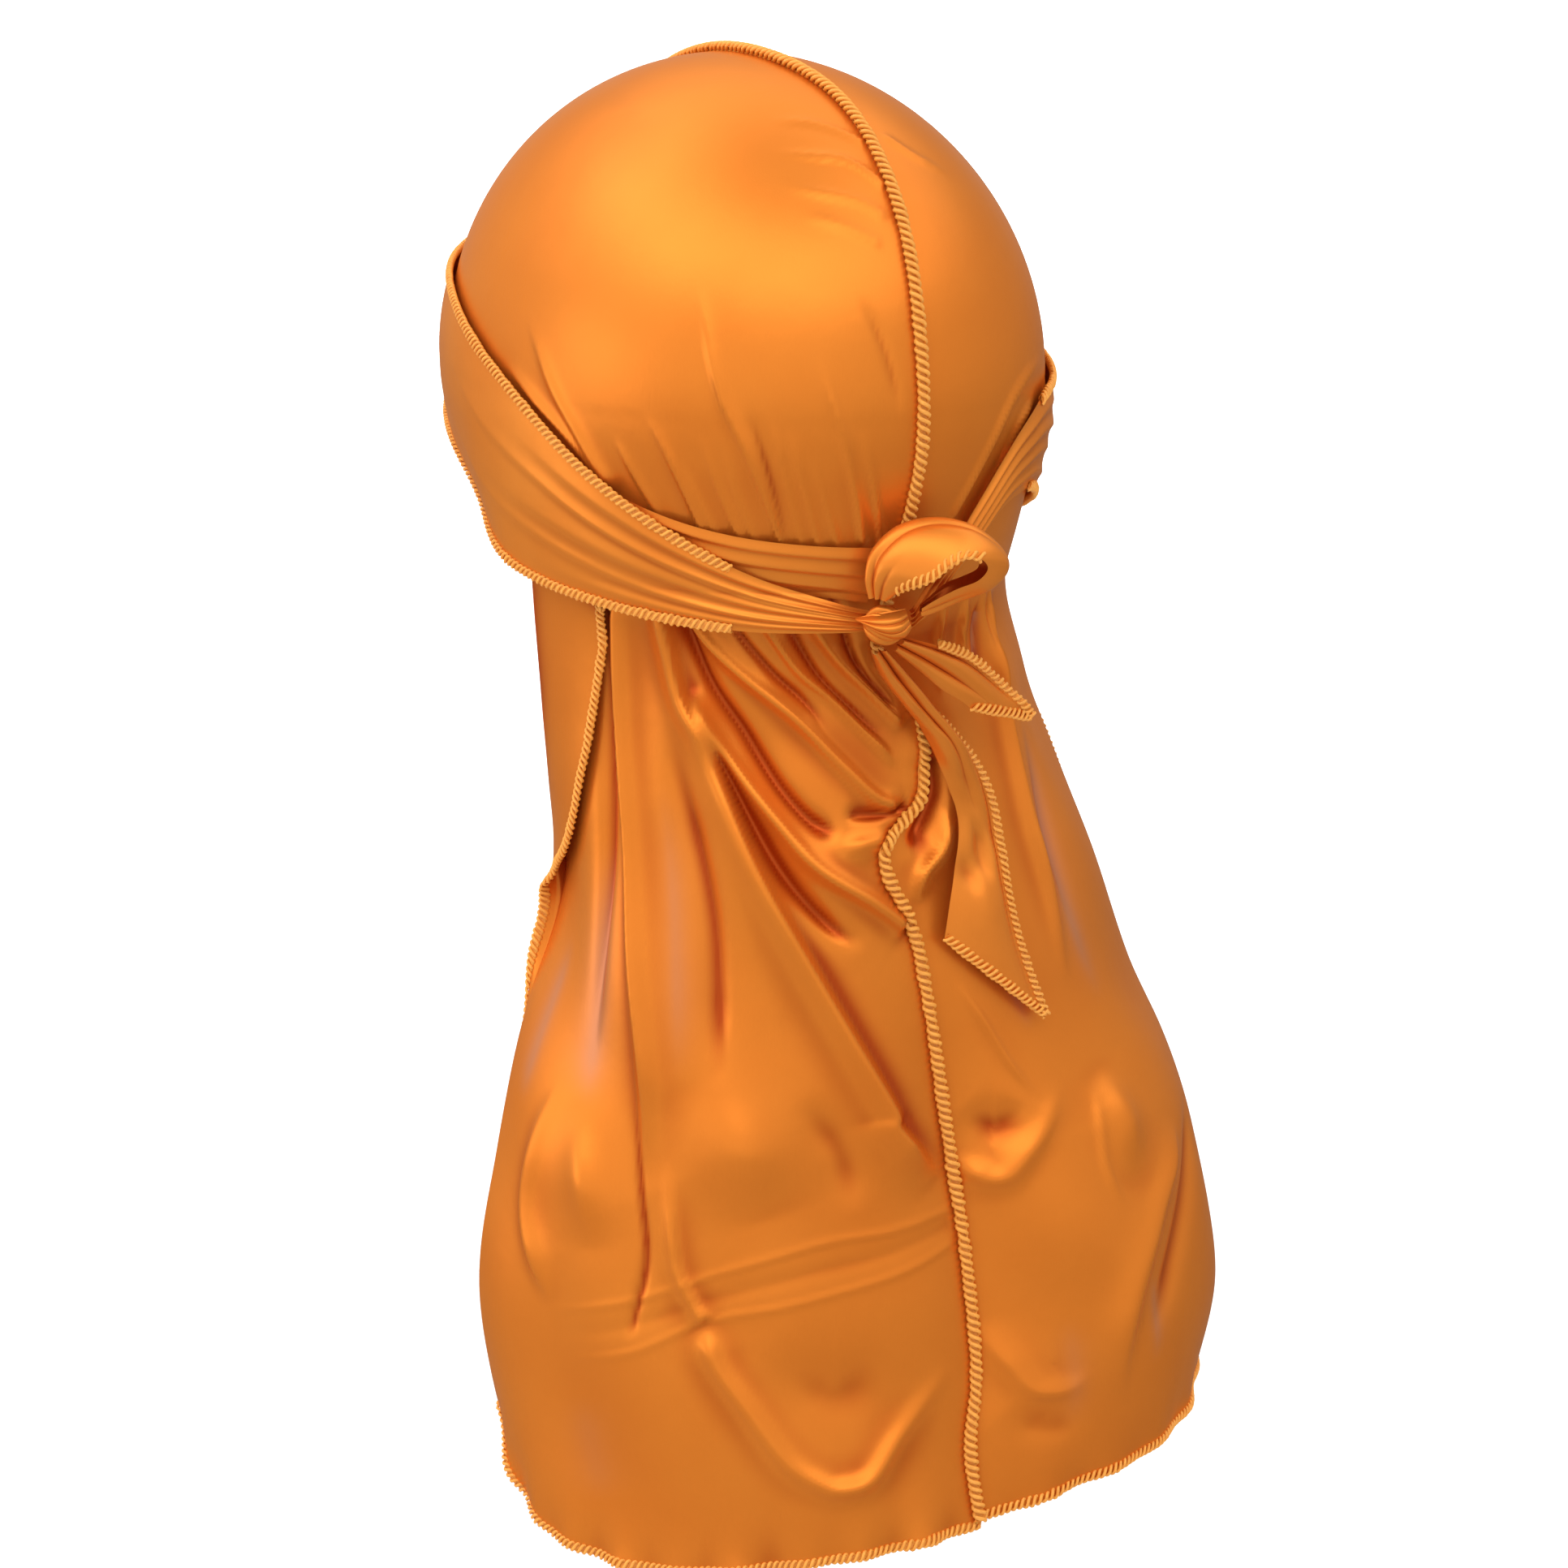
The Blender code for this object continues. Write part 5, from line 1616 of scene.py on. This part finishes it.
RIGHT_WRAP = Wrap(
    "right_wrap",
    Hand.RIGHT,
    turn=(1.0, 6.0, 12, 20, 28, 45, 60, 75, 90, 105, 120, 150, 178),
    upper=(0.1385, 0.1280, 0.1115, 0.0955, 0.0880, 0.0840, 0.0820, 0.0795, 0.0760, 0.0710, 0.0660,
           0.0590, 0.0550),
    lower=(0.1440, 0.1390, 0.1280, 0.1150, 0.1120, 0.1190, 0.1260, 0.1290, 0.1270, 0.1190, 0.1100,
           0.0980, 0.0900),
    upper_lift=(0.0056, 0.0052, 0.0046, 0.0038) + (0.0034,) * 9,
    lower_lift=(0.0056, 0.0054, 0.0048, 0.0040, 0.0038, 0.0038, 0.0038, 0.0038, 0.0038, 0.0036, 0.0034,
                0.0034, 0.0034),
    span=(0.6, 177.0),
    pleats=(
        Pleat(0.84, 0.80, 60, 1.0, 0.06, 0.35),
        Pleat(0.62, 0.60, 75, 1.2, 0.07, 0.35),
        Pleat(0.38, 0.42, 60, 1.1, 0.06, 0.35),
        Pleat(0.16, 0.20, 70, 0.9, 0.05, 0.4),
    ),
    flat=(0.042, 0.280),
)

INNER_WRAP = Wrap(
    "inner_wrap",
    Hand.LEFT,
    turn=(6.0, 17, 30, 42, 53, 62),
    upper=(0.1200, 0.1185, 0.1160, 0.1120, 0.1065, 0.1000),
    lower=(0.1360, 0.1330, 0.1300, 0.1250, 0.1180, 0.1120),
    upper_lift=(0.0033,) * 6,
    lower_lift=(0.0033,) * 6,
    span=(6.5, 61.0),
    pleats=(
        Pleat(0.80, 0.80, 90, 0.8, 0.10, 0.2),
        Pleat(0.50, 0.50, 90, 0.9, 0.10, 0.2),
        Pleat(0.20, 0.20, 90, 0.8, 0.10, 0.2),
    ),
    flat=(0.016, 0.080),
    edges=(),
    rows=120,
)

LOOP = BowLoop(
    rows=(
        (0.0011, 0.0078, 0.0040, -0.0033, 0.0080, 0.0030, -0.0015, 0.0072, -0.0005),
        (0.0042, 0.0110, 0.0070, -0.0042, 0.0138, 0.0034, -0.0014, 0.0120, -0.0030),
        (0.0082, 0.0132, 0.0100, -0.0026, 0.0206, 0.0032, 0.0008, 0.0165, -0.0052),
        (0.0128, 0.0154, 0.0112, 0.0040, 0.0270, 0.0022, 0.0060, 0.0190, -0.0068),
        (0.0166, 0.0186, 0.0110, 0.0136, 0.0292, 0.0010, 0.0144, 0.0205, -0.0078),
        (0.0210, 0.0208, 0.0100, 0.0236, 0.0270, 0.0000, 0.0212, 0.0200, -0.0084),
        (0.0256, 0.0196, 0.0080, 0.0312, 0.0210, -0.0010, 0.0250, 0.0168, -0.0088),
        (0.0272, 0.0166, 0.0060, 0.0332, 0.0150, -0.0020, 0.0250, 0.0136, -0.0088),
        (0.0246, 0.0132, 0.0050, 0.0286, 0.0094, -0.0020, 0.0210, 0.0116, -0.0080),
        (0.0192, 0.0108, 0.0042, 0.0194, 0.0058, -0.0020, 0.0164, 0.0100, -0.0066),
        (0.0136, 0.0078, 0.0038, 0.0128, 0.0032, -0.0012, 0.0118, 0.0066, -0.0046),
        (0.0098, 0.0052, 0.0030, 0.0096, 0.0028, 0.0000, 0.0094, 0.0048, -0.0026),
    ),
    flat=(0.018, 0.090),
    gathers=(Gather(4.0, 0.2, 1.6, 0.04, 0.26), Gather(1.6, 0.35, 1.5, 0.30, 0.75)),
)

LONG_END = FreeEnd(
    "long_tie_end",
    rows=(
        (9.0, 0.1466, 5.9, 0.1466, 0.0170, 0.0006),
        (6.4, 0.1549, -0.8, 0.1571, 0.0130, 0.0014),
        (2.2, 0.1634, -7.9, 0.1694, 0.0095, 0.0022),
        (-3.8, 0.1740, -15.3, 0.1824, 0.0072, 0.0026),
        (-8.8, 0.1877, -18.8, 0.1955, 0.0058, 0.0024),
        (-11.4, 0.1992, -19.5, 0.2096, 0.0052, 0.0022),
        (-10.0, 0.2103, -19.3, 0.2218, 0.0048, 0.0020),
        (-7.4, 0.2207, -20.0, 0.2364, 0.0046, 0.0016),
        (-5.7, 0.2307, -22.6, 0.2569, 0.0046, 0.0012),
    ),
    flat=(0.016, 0.105),
    gathers=(Gather(2.0, 0.0, 3.2, 0.15, 0.60), Gather(1.0, 0.1, 1.8, 0.40, 1.20)),
)

SHORT_END = FreeEnd(
    "short_tie_end",
    rows=(
        (4.6, 0.1474, 2.2, 0.1444, 0.0165, 0.0004),
        (-1.2, 0.1548, -4.8, 0.1485, 0.0150, 0.0012),
        (-6.0, 0.1612, -12.9, 0.1545, 0.0145, 0.0016),
        (-9.3, 0.1645, -19.4, 0.1634, 0.0145, 0.0012),
        (-11.6, 0.1673, -25.7, 0.1740, 0.0140, 0.0006),
    ),
    flat=(0.011, 0.042),
    gathers=(Gather(2.0, 0.2, 2.2, 0.30, 1.00),),
    lengthwise=90,
)


def main() -> None:
    """Build and dress the durag, then the studio round it."""
    logging.basicConfig(level=logging.INFO, format="%(message)s")
    panel_satin = Satin("polyester_satin_woven_panel").material()
    tie_satin = Satin("polyester_satin_woven_tie", lit="#EA8C34").material()
    thread = Thread("polyester_overlock_thread_spun").material()
    panel_kit = Kit(Slot.PANEL, panel_satin, thread, EDGE_STITCH)
    tie_kit = Kit(Slot.TIE, tie_satin, thread, TIE_STITCH)
    panels = (LEFT_PANEL, RIGHT_PANEL)
    for panel in panels:
        panel.build(panel_kit)
    CentreSeam().build(panels, thread)
    for wrap in (INNER_WRAP, LEFT_WRAP, RIGHT_WRAP):
        wrap.build(tie_kit)
    Knot().build(tie_kit)
    LOOP.build(tie_kit)
    sheets = (LEFT_PANEL.support(), RIGHT_PANEL.support())
    for end in (LONG_END, SHORT_END):
        end.build(tie_kit, sheets)
    Studio().build()


if __name__ == "__main__":
    main()
